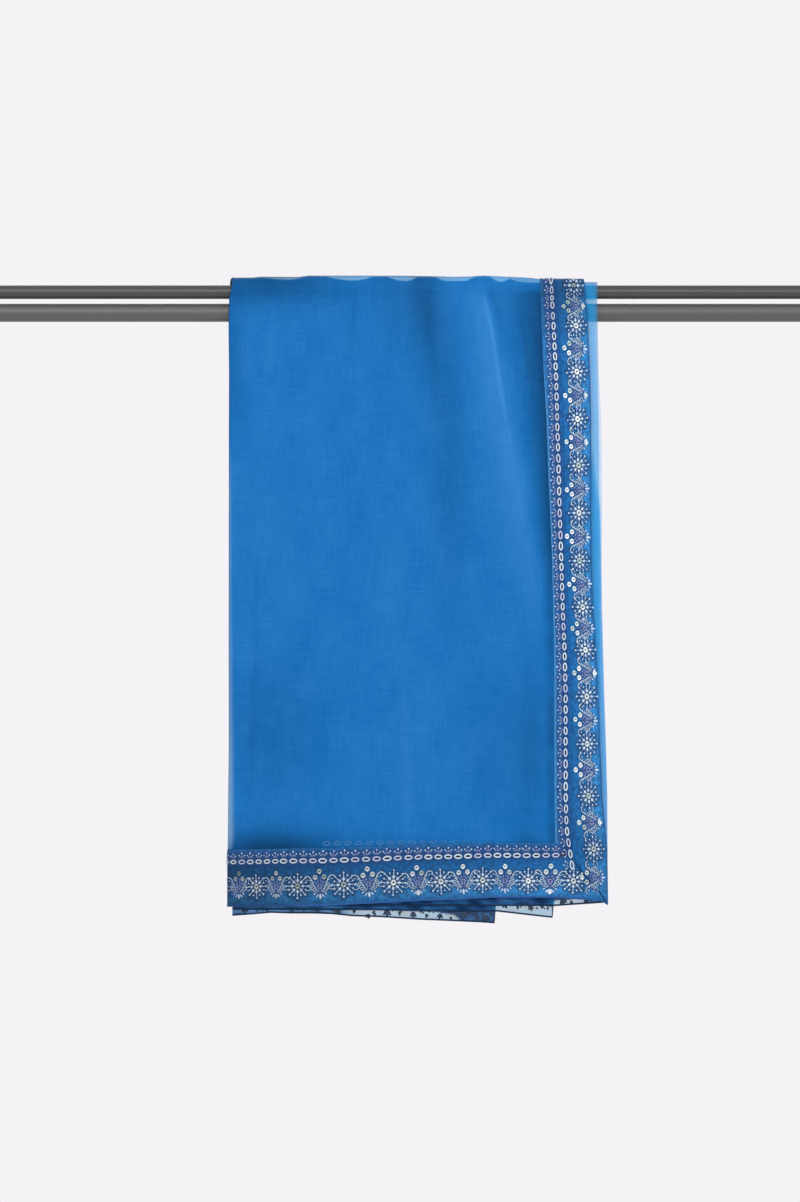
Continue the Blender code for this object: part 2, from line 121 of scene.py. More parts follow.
# long soft folds: place across at the top, lean (mm across for each metre down), half width,
# height, and where along the fall each one starts and ends (mm)
frontFolds = (
    (-120, -20, 22, 1.4, 40, 420),
    (-60, 60, 26, 1.2, 30, 330),
    (70, 175, 17, 2.4, 8, 430),
    (118, 30, 9, -1.0, 0, 480),
    (16, 10, 14, -1.0, 5, 260),
    (-95, 0, 30, -0.9, 370, 520),
    (8, 30, 26, 1.3, 320, 520),
    (160, 20, 14, 1.0, 180, 430),
)
backFolds = (
    (-105, 40, 24, 1.5, 30, 520),
    (-30, -30, 18, -0.9, 20, 400),
    (30, 60, 24, 1.8, 60, 560),
    (100, -20, 15, -0.9, 10, 470),
)

# fine creases: both ends as across and fall, half width, height (mm); plus is towards the eye
frontCreases = (
    (78, 20, 96, 128, 2.0, 0.55),
    (105, 18, 120, 96, 2.2, -0.26),
    (110, 87, 132, 91, 1.0, -0.62),
    (110, 90, 130, 94, 1.1, 0.40),
    (112, 28, 126, 66, 1.4, -0.24),
    (24, 10, 34, 118, 4.5, -0.36),
    (-112, 12, -118, 90, 3.5, 0.30),
    (-40, 8, -44, 70, 3.0, -0.28),
    (2, 330, 8, 520, 4.0, 0.30),
    (-128, 250, -134, 470, 3.0, -0.28),
)
backCreases = (
    (-60, 14, -50, 150, 3.5, 0.45),
    (64, 10, 50, 190, 3.0, -0.45),
    (110, 240, 100, 470, 4.0, 0.35),
    (-100, 300, -110, 520, 3.5, -0.35),
)

crestForm = {
    "rise": 4.1 * mm,
    "reach": 11 * mm,
    "pinch": 0.55,  # how much flatter the left fold is pressed where it passes over the rods
    # across (mm), share of the rise
    "envelope": (
        (-154, 0.60), (-149.5, 0.58), (-133, 0.58), (-125, 0.78), (-92, 0.72), (-82, 1.02),
        (0, 1.0), (31, 0.88), (50, 0.75), (62, 0.82), (76, 1.04), (88, 0.88), (99, 0.74),
        (112, 0.60), (119, 0.47), (124, 0.30), (190, 0.10),
    ),
    # the hidden layers' rise under it: across, rise (mm)
    "humps": (
        (-154, 1.6), (-149, 2.9), (-130, 3.3), (-124, 3.6), (-112, 2.2), (-99, 1.4), (-90, 2.7),
        (-87, 4.0), (-82.8, 4.7), (-67.5, 4.7), (-63, 3.6), (-58.5, 2.4), (-49.5, 1.2),
        (-41.4, 0.7), (-34.2, 1.5), (-27.9, 3.1), (-23.4, 4.4), (-11.7, 4.4), (-7.2, 2.7),
        (-1.8, 0.9), (6.3, 0.2), (10.8, 1.4), (14.4, 3.6), (17.1, 4.3), (30.6, 4.1), (34.2, 3.1),
        (37.8, 1.1), (42.3, 0.45), (59.4, 0.45), (63, 2.2), (66.6, 3.9), (72, 4.6), (80, 4.5),
        (82.5, 3.3), (86, 0.9), (90.9, -0.6), (95.5, 0.9), (98.6, 2.7), (104.4, 0.30),
        (112.5, -0.9), (123, -1.2), (190, -1.2),
    ),
}

# how far the left fold stands in from its straight line: fall, across (mm)
leftWander = (
    (0, 2.4), (7, 1.8), (17, -0.3), (60, 0.6), (107, 1.6), (215, 0.6), (290, 0.9), (430, 0.5),
    (505, -0.5),
)

ringPitch = 9.4 * mm  # usual step between the narrow lace's rings
foldWrap = pi * folds["turnRadius"]  # half a turn round the left fold
rodDrop = rods["upperHeight"] - rods["lowerHeight"]
leanAngle = math.acos((rods["lowerRadius"] - rods["upperRadius"]) / rodDrop)
upperArc = rods["upperRadius"] * leanAngle
straightRun = math.sqrt(rodDrop**2 - (rods["lowerRadius"] - rods["upperRadius"]) ** 2)
overRods = upperArc + straightRun + rods["lowerRadius"] * (pi / 2 - leanAngle)


def column(rows, index, unit=mm):
    # one column of a table, in metres unless unit says otherwise
    return np.array([row[index] for row in rows]) * unit


def tableAt(rows, place, index=1, unit=mm):
    # a table's column at each place, straight between its rows
    return np.interp(place, column(rows, 0), column(rows, index, unit))


def lineAt(name, run):
    # a line of the border at each run, on the front or on the back
    index = lineNames.index(name)
    return np.where(run < 0, tableAt(frontLines, -run, index), tableAt(backLines, run, index))


def hemAt(name, across):
    # height of a hem at each place across
    return tableAt(hemLines[name], across)


def smoothStep(value, low, high):
    # 0 below low, 1 above high, with no corner at either
    share = np.clip((value - low) / (high - low), 0, 1)
    return share * share * (3 - 2 * share)


def within(value, low, risen, falling, high):
    # 0 outside low and high, 1 from risen to falling
    return smoothStep(value, low, risen) * (1 - smoothStep(value, falling, high))


def bell(value, halfWidth):
    # 1 at the middle, e to the minus square of the way out in half widths
    return np.exp(-((value / halfWidth) ** 2))


def evenly(start, end, count):
    # count even steps from start, which stop one short of end
    return np.linspace(start, end, count, endpoint=False)


def stacked(*parts):
    # rows one under the other, each part spread to the widest one's columns
    columns = max(part.shape[1] for part in parts)
    return np.concatenate([np.broadcast_to(part, (len(part), columns)) for part in parts])


def paired(first, second):
    # two arrays spread to one shape, as the two parts of each point
    return np.stack(np.broadcast_arrays(first, second), -1)


def runToHeight(height):
    # the run at which the front hangs down to a height
    return -(overRods + rods["lowerHeight"] - height)


def rodGap(run):
    # 1 at the gap between the rods on the front, 0 away from it
    return np.exp(-(((run + rods["gapRun"]) / rods["gapHalf"]) ** 4))


def overRodRuns(count):
    # even runs from the front's side of the rods to the back's
    return np.linspace(-overRods, overRods, 2 * count + 1)


def runsFrom(start, frontCount, arcCount, backCount):
    # runs up the front, over the rods, down the back and round its foot
    return np.concatenate([
        evenly(start, -overRods, frontCount), overRodRuns(arcCount),
        np.linspace(overRods, folds["backLength"], backCount)[1:],
        folds["backLength"] + np.linspace(0, foldWrap, 8)[1:],
    ])


def drape(run, depth):
    # y and z: the outline of both rods, moved out by depth, then straight down on each side
    fall = np.abs(run)
    angle = np.clip(fall / rods["upperRadius"], 0, leanAngle)
    past = np.clip(fall - upperArc - straightRun, 0, overRods - upperArc - straightRun)
    low = fall > upperArc + straightRun
    angle = np.where(low, leanAngle + past / rods["lowerRadius"], angle)
    radius = np.where(low, rods["lowerRadius"], rods["upperRadius"]) + depth
    centre = np.where(low, rods["lowerHeight"], rods["upperHeight"])
    along = np.where(low, 0, np.clip(fall - upperArc, 0, straightRun))
    hanging = np.maximum(fall - overRods, 0)
    y = radius * np.sin(angle) + along * math.cos(leanAngle)
    z = centre + radius * np.cos(angle) - along * math.sin(leanAngle) - hanging
    return np.where(run < 0, -y, y), z


def draped(across, run, depth):
    # points of flat cloth laid over the rods
    return np.stack(np.broadcast_arrays(across, *drape(run, depth)), -1)


def foldRelief(across, run):
    # 1.1 mm of ease, plus a bell across for each soft fold, faded in and out along the fall
    relief = np.full(np.broadcast(across, run).shape, 1.1 * mm)
    for rows, fall in ((frontFolds, -run), (backFolds, run)):
        for at, lean, halfWidth, height, start, end in rows:
            fold = height * mm * bell(across - (at + lean * fall) * mm, halfWidth * mm)
            relief = relief + fold * within(fall / mm, start, start + 45, end - 90, end)
    return relief * smoothStep(np.abs(run), 14 * mm, 46 * mm)


def creaseRelief(across, run):
    # narrow ridges: a bell about the line between two ends, faded at both ends
    relief = np.zeros(np.broadcast(across, run).shape)
    for rows, fall in ((frontCreases, -run), (backCreases, run)):
        for x0, fall0, x1, fall1, halfWidth, height in rows:
            start, way = np.array([x0, fall0]) * mm, np.array([x1 - x0, fall1 - fall0]) * mm
            length = np.hypot(*way)
            along = ((across - start[0]) * way[0] + (fall - start[1]) * way[1]) / length**2
            aside = ((across - start[0]) * way[1] - (fall - start[1]) * way[0]) / length
            ridge = height * mm * bell(aside, halfWidth * mm)
            relief = relief + ridge * within(along, -0.1, 0.25, 0.75, 1.1)
    return relief


def easeWaves(across, run):
    # the organza's slight unevenness: a few crossed sine waves, under 0.2 mm, where it hangs
    waves = (
        0.10 * np.sin(across / 0.0105 + 2.2 * np.sin(run / 0.061))
        + 0.12 * np.sin(across / 0.019 - run / 0.047 + 1.3)
        + 0.10 * np.sin(run / 0.0235 + 1.7 * np.sin(across / 0.037))
    )
    return waves * 0.7 * mm * smoothStep(np.abs(run), 26 * mm, 70 * mm)


def crestShare(run):
    # 1 along the crest, fading down both sides
    return bell(run, crestForm["reach"])


def panelRelief(across, run):
    # how far the outer panel stands off its resting depth
    share = tableAt(crestForm["envelope"], across, unit=1)
    hanging = foldRelief(across, run) + creaseRelief(across, run) + easeWaves(across, run)
    return hanging + crestForm["rise"] * share * crestShare(run)


def humpRelief(across, run):
    # the hidden layers' humps under the crest
    return tableAt(crestForm["humps"], across) * crestShare(run)


def foldWander(across, run):
    # the left fold's own wandering, gone 25 mm further in
    wander = tableAt(leftWander, -run) * (run < 0)
    return wander * (1 - smoothStep(across, folds["left"], folds["left"] + 25 * mm))


def turnRound(excess, depth):
    # cloth carried round a fold: (new depth, reach past the fold's line). It turns about the
    # pivot depth, flatter on the inside to stay clear of the rods, where the rest runs back
    angle = np.clip(excess / folds["turnRadius"], 0, pi)
    radius = depth - depths["pivot"]
    flat = np.minimum(radius, depths["pivot"] - depths["tuckedIn"])
    rising = np.where(np.cos(angle) > 0, radius, flat)
    back = np.maximum(excess - foldWrap, 0)
    return depths["pivot"] + rising * np.cos(angle), radius * np.sin(angle) - back


def clothPoint(across, run, depth):
    # a point of the outer panel, turned round its left fold and round the foot of its back
    across, run, depth = np.broadcast_arrays(across, run, depth)
    kept = np.maximum(across, folds["left"])
    hung = np.minimum(run, folds["backLength"])
    out, reachLeft = turnRound(folds["left"] - np.minimum(across, folds["left"]),
                               depth + panelRelief(kept, hung))
    out, reachDown = turnRound(run - hung, out)
    reachLeft = reachLeft * np.where(reachLeft > 0, 1 - crestForm["pinch"] * crestShare(hung), 1)
    y, z = drape(hung, out)
    return np.stack([kept - reachLeft + foldWander(kept, hung), y, z - reachDown], -1)


# meshes


def gridFaces(rows, columns, closed=False):
    # quads between neighbouring rows and columns; closed joins the last row to the first
    number = np.arange(rows * columns).reshape(rows, columns)
    if closed:
        number = np.concatenate([number, number[:1]])
    return np.stack(
        [number[:-1, :-1], number[:-1, 1:], number[1:, 1:], number[1:, :-1]], -1
    ).reshape(-1, 4)


def makeMesh(name, points, faces, finish, uv=None, attributes=None):
    # points (n, 3); faces as lists; uv (n, 2) and attributes (n) by vertex. Organza (it has
    # open) is whole and has no painted backlight unless the attributes say so
    mesh = bpy.data.meshes.new(name)
    mesh.from_pydata(points.reshape(-1, 3).tolist(), [], faces)
    if uv is not None:
        corner = np.zeros(len(mesh.loops), np.int32)
        mesh.loops.foreach_get("vertex_index", corner)
        layer = mesh.uv_layers.new(name="UVMap")
        layer.uv.foreach_set("vector", uv.reshape(-1, 2)[corner].astype(np.float32).ravel())
    attributes = dict(attributes or {})
    if "open" in attributes:
        attributes.setdefault("cover", np.ones(len(mesh.vertices)))
        attributes.setdefault("faded", np.zeros(len(mesh.vertices)))
    for key, values in attributes.items():
        kept = mesh.attributes.new(key, "FLOAT", "POINT")
        kept.data.foreach_set("value", values.astype(np.float32).ravel())
    mesh.shade_smooth()
    mesh.materials.append(finish)
    mesh.update()
    piece = bpy.data.objects.new(name, mesh)
    bpy.context.scene.collection.objects.link(piece)
    return piece


def makeSheet(name, points, finish, u, v, closed=False, flipped=False, **attributes):
    # a grid of points (rows, columns, 3) as quads, its UV in metres, each attribute spread over it
    faces = gridFaces(*points.shape[:2], closed)
    if flipped:
        faces = faces[:, ::-1]
    flat = np.zeros(points.shape[:2])
    return makeMesh(name, points, faces.tolist(), finish, np.stack([u + flat, v + flat], -1),
                    {key: values + flat for key, values in attributes.items()})


def finishPiece(piece, slotName, *nodes):
    # rides on the one body, and stands in for the solids it shows
    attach(piece, "root")
    if nodes:
        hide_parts(*nodes)
    return piece


# shader writing


def mathNode(operation):
    # a method that makes one Math node of a wire and the values after it
    return lambda wire, *others: wire.finish.maths(operation, wire, *others)


class Wire:
    # a socket that can be added, multiplied and so on; each sum is a Math node
    __add__ = __radd__ = mathNode("ADD")
    __sub__ = mathNode("SUBTRACT")
    __mul__ = __rmul__ = mathNode("MULTIPLY")
    __truediv__ = mathNode("DIVIDE")
    __pow__ = mathNode("POWER")
    __abs__ = mathNode("ABSOLUTE")
    sine = mathNode("SINE")
    fraction = mathNode("FRACT")
    orMore = mathNode("MAXIMUM")
    orLess = mathNode("MINIMUM")
    angleOver = mathNode("ARCTAN2")

    def __init__(self, finish, socket):
        self.finish = finish
        self.socket = socket

    def __rsub__(self, other):
        return self.finish.maths("SUBTRACT", other, self)

    def clamped(self):
        # kept from 0 to 1
        return self.orLess(1.0).orMore(0.0)

    def above(self, low, high):
        # 0 below low, 1 above high, straight between
        return ((self - low) / (high - low)).clamped()


class Finish:
    # one material; node() adds any node, its settings first and then its sockets
    def __init__(self, name):
        self.material = bpy.data.materials.new(name)
        self.material.use_nodes = True
        self.tree = self.material.node_tree
        self.shader = self.tree.nodes["Principled BSDF"]

    def plug(self, socket, value):
        if isinstance(value, Wire):
            self.tree.links.new(value.socket, socket)
        elif isinstance(value, tuple) and socket.type == "RGBA" and len(value) == 3:
            socket.default_value = (*value, 1.0)
        else:
            socket.default_value = value

    def node(self, kind, settings=None, sockets=None, output=0):
        made = self.tree.nodes.new(kind)
        for key, value in (settings or {}).items():
            if key == "stops":
                ramp = made.color_ramp
                while len(ramp.elements) < len(value):
                    ramp.elements.new(0.5)
                for element, (place, colour) in zip(ramp.elements, value):
                    element.position = place
                    element.color = (*colour, 1.0)
            else:
                setattr(made, key, value)
        for key, value in (sockets or {}).items():
            self.plug(made.inputs[key], value)
        return Wire(self, made.outputs[output])

    def maths(self, operation, *values):
        return self.node("ShaderNodeMath", {"operation": operation}, dict(enumerate(values)))

    def split(self, vector):
        node = self.node("ShaderNodeSeparateXYZ", None, {0: vector}).socket.node
        return [Wire(self, output) for output in node.outputs]

    def uvPlace(self):
        # the piece's own UV, in metres, as two wires
        return self.split(self.node("ShaderNodeUVMap", {"uv_map": "UVMap"}))[:2]

    def ownPlace(self):
        return self.node("ShaderNodeTexCoord", None, None, "Object")

    def attribute(self, name):
        return self.node("ShaderNodeAttribute", {"attribute_name": name}, None, "Fac")

    def blend(self, factor, first, second):
        # the first colour where factor is 0, the second where it is 1
        settings = {"data_type": "RGBA", "blend_type": "MIX", "clamp_factor": True}
        return self.node("ShaderNodeMix", settings, {0: factor, 6: first, 7: second}, 2)

    def scaled(self, colour, amount):
        # a colour times a number
        settings = {"operation": "SCALE"}
        return self.node("ShaderNodeVectorMath", settings, {0: colour, "Scale": amount})

    def noise(self, place, scale, detail=2.0, roughness=0.5):
        sockets = {"Vector": place, "Scale": scale, "Detail": detail, "Roughness": roughness}
        return self.node("ShaderNodeTexNoise", None, sockets, "Fac")

    def patches(self, u, v, alongU, alongV, detail, roughness=0.5):
        # noise with so many patches a metre along u and along v
        place = self.node("ShaderNodeCombineXYZ", None, {0: u * alongU, 1: v * alongV})
        return self.noise(place, 1.0, detail, roughness)

    def bump(self, height, distance):
        sockets = {"Height": height, "Distance": distance, "Strength": 1.0}
        return self.node("ShaderNodeBump", None, sockets)

    def set(self, **values):
        for key, value in values.items():
            self.plug(self.shader.inputs[key.replace("_", " ")], value)
        return self.material


# finishes

clothColours = {
    "body": (0.0042, 0.158, 0.486),
    # pale: what the cloth blends towards where its tone is above 0 (painted light), and in paler slubs
    "pale": (0.085, 0.400, 0.860),
    "sheer": (0.030, 0.400, 0.820),
    "deep": (0.006, 0.110, 0.350),
    # painted backlight: the grey-blue of light coming through a single fold
    "faded": (0.26, 0.44, 0.62),
    "plain": (0.015, 0.305, 0.670),
    "plainSheer": (0.010, 0.405, 0.870),
    "plainUnder": (0.006, 0.250, 0.660),
    "underHem": (0.006, 0.250, 0.440),
    "underDeep": (0.003, 0.046, 0.160),
}


def organza(name, closed, sheer, closedAlpha, sheerAlpha, threadPitch=0.42 * mm):
    # crossed fine threads with slubs along both ways. The attributes: open, where nothing lies
    # behind; tone, darker where more layers lie behind and paler where fewer, and painted shade and
    # light of folds and creases; the painted backlight, a grey-blue where light comes through a single
    # fold; cover, how much of the cloth there is at a soft edge. Seen edge-on it is denser
    finish = Finish(name)
    u, v = finish.uvPlace()
    warp = (u * (2 * pi / threadPitch)).sine()
    weft = (v * (2 * pi / threadPitch)).sine()
    threads = (warp * 0.5 + 0.5) * (weft * 0.5 + 0.5)
    slubs = finish.patches(u, v, 620, 42, 4.0, 0.62) * 0.5
    slubs = slubs + finish.patches(u, v, 38, 560, 4.0, 0.62) * 0.5
    cloudy = finish.patches(u, v, 34, 20, 4.0, 0.6)
    opening = finish.attribute("open").clamped()
    uneven = (slubs - 0.5) * 0.50 + (cloudy - 0.5) * 0.26 + (threads - 0.25) * 0.06
    # tone below 0 darkens (painted shade, with layers behind); above 0 it blends to pale (painted light)
    tone = finish.attribute("tone")
    below = tone.orLess(0.0)
    paler = tone.orMore(0.0) + below * 0.13 + uneven * 0.9 + 0.07
    darker = below + uneven * 0.2 + 1.0
    colour = finish.blend(opening, closed, sheer)
    colour = finish.scaled(finish.blend(paler.clamped(), colour, clothColours["pale"]), darker)
    # painted backlight, patchy with the slubs, where light comes through a single fold
    fading = (finish.attribute("faded") * (slubs * 0.8 + 0.6)).clamped()
    colour = finish.blend(fading, colour, clothColours["faded"])
    edgeOn = finish.node("ShaderNodeLayerWeight", None, {"Blend": 0.5}, "Facing") ** 4.0
    alpha = opening * (sheerAlpha - closedAlpha) + closedAlpha
    alpha = alpha + ((threads - 0.25) * 0.10 + (slubs - 0.5) * 0.24 + edgeOn * 0.4) * opening
    return finish.set(
        Base_Color=finish.scaled(colour, 1.0 - edgeOn * 0.25),
        Alpha=alpha.clamped() * finish.attribute("cover"),
        Roughness=slubs * 0.20 + 0.40,
        Normal=finish.bump(threads + slubs * 0.6, 0.05 * mm),
        Specular_IOR_Level=0.07,
    )


def netGround(finish, v):
    # what both laces share: net of two slanting sets of threads, fuzz and soft patches
    u = finish.uvPlace()[0]
    across = v * finish.attribute("width")
    left = ((u + across) * (2 * pi / (0.75 * mm))).sine()
    right = ((u - across) * (2 * pi / (0.75 * mm))).sine()
    net = (left * 0.5 + 0.5) * (right * 0.5 + 0.5)
    fuzz = finish.patches(u, across, 800, 800, 3.0)
    cloudy = finish.patches(u, across, 260, 260, 3.0)
    shade = (net * 0.24 + 0.88) * ((fuzz - 0.5) * 1.9 + 1.0) * ((cloudy - 0.5) * 1.7 + 1.0)
    # tone darkens the net, carrying the end border's painted shade
    return shade * (finish.attribute("tone") + 1.0), net + fuzz * 0.5, fuzz


def laceFinish(finish, v, stops, shade, relief, fuzz, layers):
    # the band's colours from edge to edge, then each layer's colour laid on by its share
    band = finish.node("ShaderNodeValToRGB", {"stops": stops}, {0: v}, "Color")
    ground = finish.scaled(band, shade)
    for share, colour in layers:
        ground = finish.blend(share, ground, colour)
    return finish.set(
        Base_Color=ground,
        Roughness=fuzz * 0.2 + 0.45,
        Normal=finish.bump(relief, 0.10 * mm),
        Specular_IOR_Level=0.15,
    )


def flowerGround(name, stops):
    # the wide lace: navy stitches and painted shadow round each flower's beads and petals, and
    # between a bud's leaves. The attribute motif counts them (even at flowers, odd at buds), pitch is
    # the step between two and outward the way to the edge, in metres
    finish = Finish(name)
    v = finish.uvPlace()[1]
    shade, relief, fuzz = netGround(finish, v)
    number = finish.attribute("motif")
    outward = finish.attribute("outward")
    along = ((number + 0.5).fraction() - 0.5) * finish.attribute("pitch")
    bud = ((number + 0.5) * 0.5).fraction().above(0.499, 0.501)
    distance = (along * along + outward * outward) ** 0.5
    eighth = outward.angleOver(along) * (8 / (2 * pi))
    onSpoke = ((eighth + 0.5).fraction() - 0.5) * distance * (2 * pi / 8)
    between = (eighth.fraction() - 0.5) * distance * (2 * pi / 8)
    # ways to the middles of the nearest long bead, on a spoke, and short one, between two
    longBead = (onSpoke * onSpoke + (distance - 11.0 * mm) ** 2.0) ** 0.5
    shortBead = (between * between + (distance - 9.1 * mm) ** 2.0) ** 0.5
    # painted shadow round each bead, over the flower's heart and faintly in a ring round it
    flowerShadow = longBead.orLess(shortBead).above(2.7 * mm, 1.5 * mm) * 0.85
    flowerShadow = flowerShadow.orMore(distance.above(8.8 * mm, 6.6 * mm) * 0.88)
    flowerShadow = flowerShadow.orMore(distance.above(13.6 * mm, 12.2 * mm) * 0.34)
    lean = (outward - 5.0 * mm).angleOver(along)
    leaves = (lean * 24.0).sine() * 0.5 + 0.5
    # painted shadow between a bud's leaves
    budShadow = (along * along + (outward + 1.0 * mm) ** 2.0) ** 0.5
    budShadow = budShadow.above(10.5 * mm, 7.5 * mm)
    shadow = flowerShadow * (1 - bud) + budShadow * bud * 0.72
    shadow = (shadow * ((fuzz - 0.5) * 3.4 + 0.98)).clamped()
    stitches = leaves * bud * distance.above(9.5 * mm, 7.5 * mm) * (fuzz * 0.9 + 0.1)
    return laceFinish(finish, v, stops, shade, relief, fuzz, (
        (shadow * 0.92, (0.007, 0.028, 0.092)),
        ((stitches * 1.1).clamped(), (0.095, 0.190, 0.540)),
    ))


def ringGround(name, stops):
    # the narrow lace: dark inside the rings, painted shadow along and between them, violet stems of
    # the sprigs. The attribute chain counts the rings, outward is the way to the edge in metres from them
    finish = Finish(name)
    v = finish.uvPlace()[1]
    shade, relief, fuzz = netGround(finish, v)
    number = finish.attribute("chain")
    outward = finish.attribute("outward")
    along = abs(((number + 0.5).fraction() - 0.5) * ringPitch)
    # painted shadow along the line of rings, patchy with the fuzz
    chain = abs(outward).above(3.9 * mm, 2.7 * mm) * ((fuzz - 0.5) * 1.6 + 0.66)
    hole = (along * 0.45 + abs(outward)).above(2.0 * mm, 1.2 * mm)
    selvedge = v.above(0.14, 0.04) * finish.attribute("selvedge")
    stem = along.above(0.9 * mm, 0.4 * mm) * abs(outward + 5.2 * mm).above(2.6 * mm, 1.8 * mm)
    arms = abs(along + outward + 3.4 * mm).above(0.9 * mm, 0.4 * mm)
    arms = arms * abs(outward + 4.8 * mm).above(1.9 * mm, 1.3 * mm)
    field = abs(outward + 5.6 * mm).above(4.4 * mm, 3.0 * mm) * ((fuzz - 0.5) * 3.0 + 0.55)
    return laceFinish(finish, v, stops, shade, relief, fuzz, (
        ((field * 0.80).clamped(), (0.010, 0.042, 0.170)),
        (selvedge * (fuzz * 1.05), (0.100, 0.350, 0.680)),
        (chain.clamped(), (0.014, 0.056, 0.190)),
        (hole * 0.7, (0.062, 0.030, 0.052)),
        (stem.orMore(arms) * 0.28, (0.120, 0.100, 0.340)),
    ))


def thread(name, colour, second, roughness=0.42, bands=0.0):
    # laid stitches: lines along each stitch, a tint of its own for each; bands are dark gaps
    # across a cord, between its stitches
    finish = Finish(name)
    u, v = finish.uvPlace()
    # tone darkens the stitches half as much, carrying the border's painted shade
    shade = finish.attribute("tone") * 0.5 + 1.0
    strands = (u * (2 * pi * 7) + v * 3.0).sine() * 0.5 + 0.5
    colourNow = finish.blend(finish.attribute("tint"), colour, second)
    if bands:
        gaps = (v * (2 * pi * 3)).sine().above(-0.2, -0.9) * bands
        colourNow = finish.blend(gaps, colourNow, (0.020, 0.060, 0.220))
    return finish.set(
        Base_Color=finish.scaled(colourNow, (strands * 0.24 + 0.82) * shade),
        Roughness=strands * 0.15 + roughness,
        Normal=finish.bump(strands, 0.06 * mm),
    )


def veiledThread(name, colour, alpha):
    # stitches seen through a layer of the organza: soft, with its tint
    finish = Finish(name)
    u, v = finish.uvPlace()
    patches = finish.patches(u, v, 2, 1, 2.0)
    across = finish.split(finish.ownPlace())[0]
    return finish.set(
        Base_Color=colour,
        Alpha=(patches * 0.8 + 0.2) * across.above(0.090, -0.010) * alpha,
        Roughness=0.6,
        Specular_IOR_Level=0.1,
    )


def foil(name, colour, second):
    # sequins: bright foil, faintly dimpled, each with its own tint
    finish = Finish(name)
    dimples = finish.noise(finish.ownPlace(), 900.0, 2.0)
    tinted = finish.blend(finish.attribute("tint"), colour, second)
    return finish.set(
        # tone darkens the foil, carrying the border's painted shade
        Base_Color=finish.scaled(tinted, finish.attribute("tone") + 1.0),
        Metallic=0.75,
        Roughness=dimples * 0.15 + 0.16,
        Normal=finish.bump(dimples, 0.05 * mm),
        Coat_Weight=0.4,
        Coat_Roughness=0.12,
    )


def brushedSteel(name, base, bright, roughness, metallic):
    # long fine scratches along X, with a few broader worn streaks
    finish = Finish(name)
    x, y, z = finish.split(finish.ownPlace())
    fine = finish.node("ShaderNodeCombineXYZ", None, {0: x * 6, 1: y * 2600, 2: z * 2600})
    fine = finish.noise(fine, 1.0, 3.0, 0.6)
    broad = finish.node("ShaderNodeCombineXYZ", None, {0: x * 2, 1: y * 420, 2: z * 420})
    broad = finish.noise(broad, 1.0, 2.0)
    return finish.set(
        Base_Color=finish.blend((fine * 0.6 + broad * 0.6 - 0.1).clamped(), base, bright),
        Metallic=metallic,
        Roughness=fine * 0.14 + roughness,
        Normal=finish.bump(fine, 0.02 * mm),
        Specular_IOR_Level=0.35,
    )


def hemThread(name, colour, second):
    # overcast stitches slanting round a rolled edge; u along it in metres, v round it
    finish = Finish(name)
    u, v = finish.uvPlace()
    slant = (u * (2 * pi / (0.9 * mm)) + v * (2 * pi)).sine() * 0.5 + 0.5
    patches = finish.patches(u, v, 120, 0, 2.0)
    stitches = finish.blend((slant * 0.7 + patches * 0.5 - 0.1).clamped(), colour, second)
    return finish.set(
        # tone darkens the hem: painted shade at the end hem's left
        Base_Color=finish.scaled(stitches, finish.attribute("tone") + 1.0),
        Roughness=0.6,
        Normal=finish.bump(slant, 0.12 * mm),
        Specular_IOR_Level=0.15,
    )


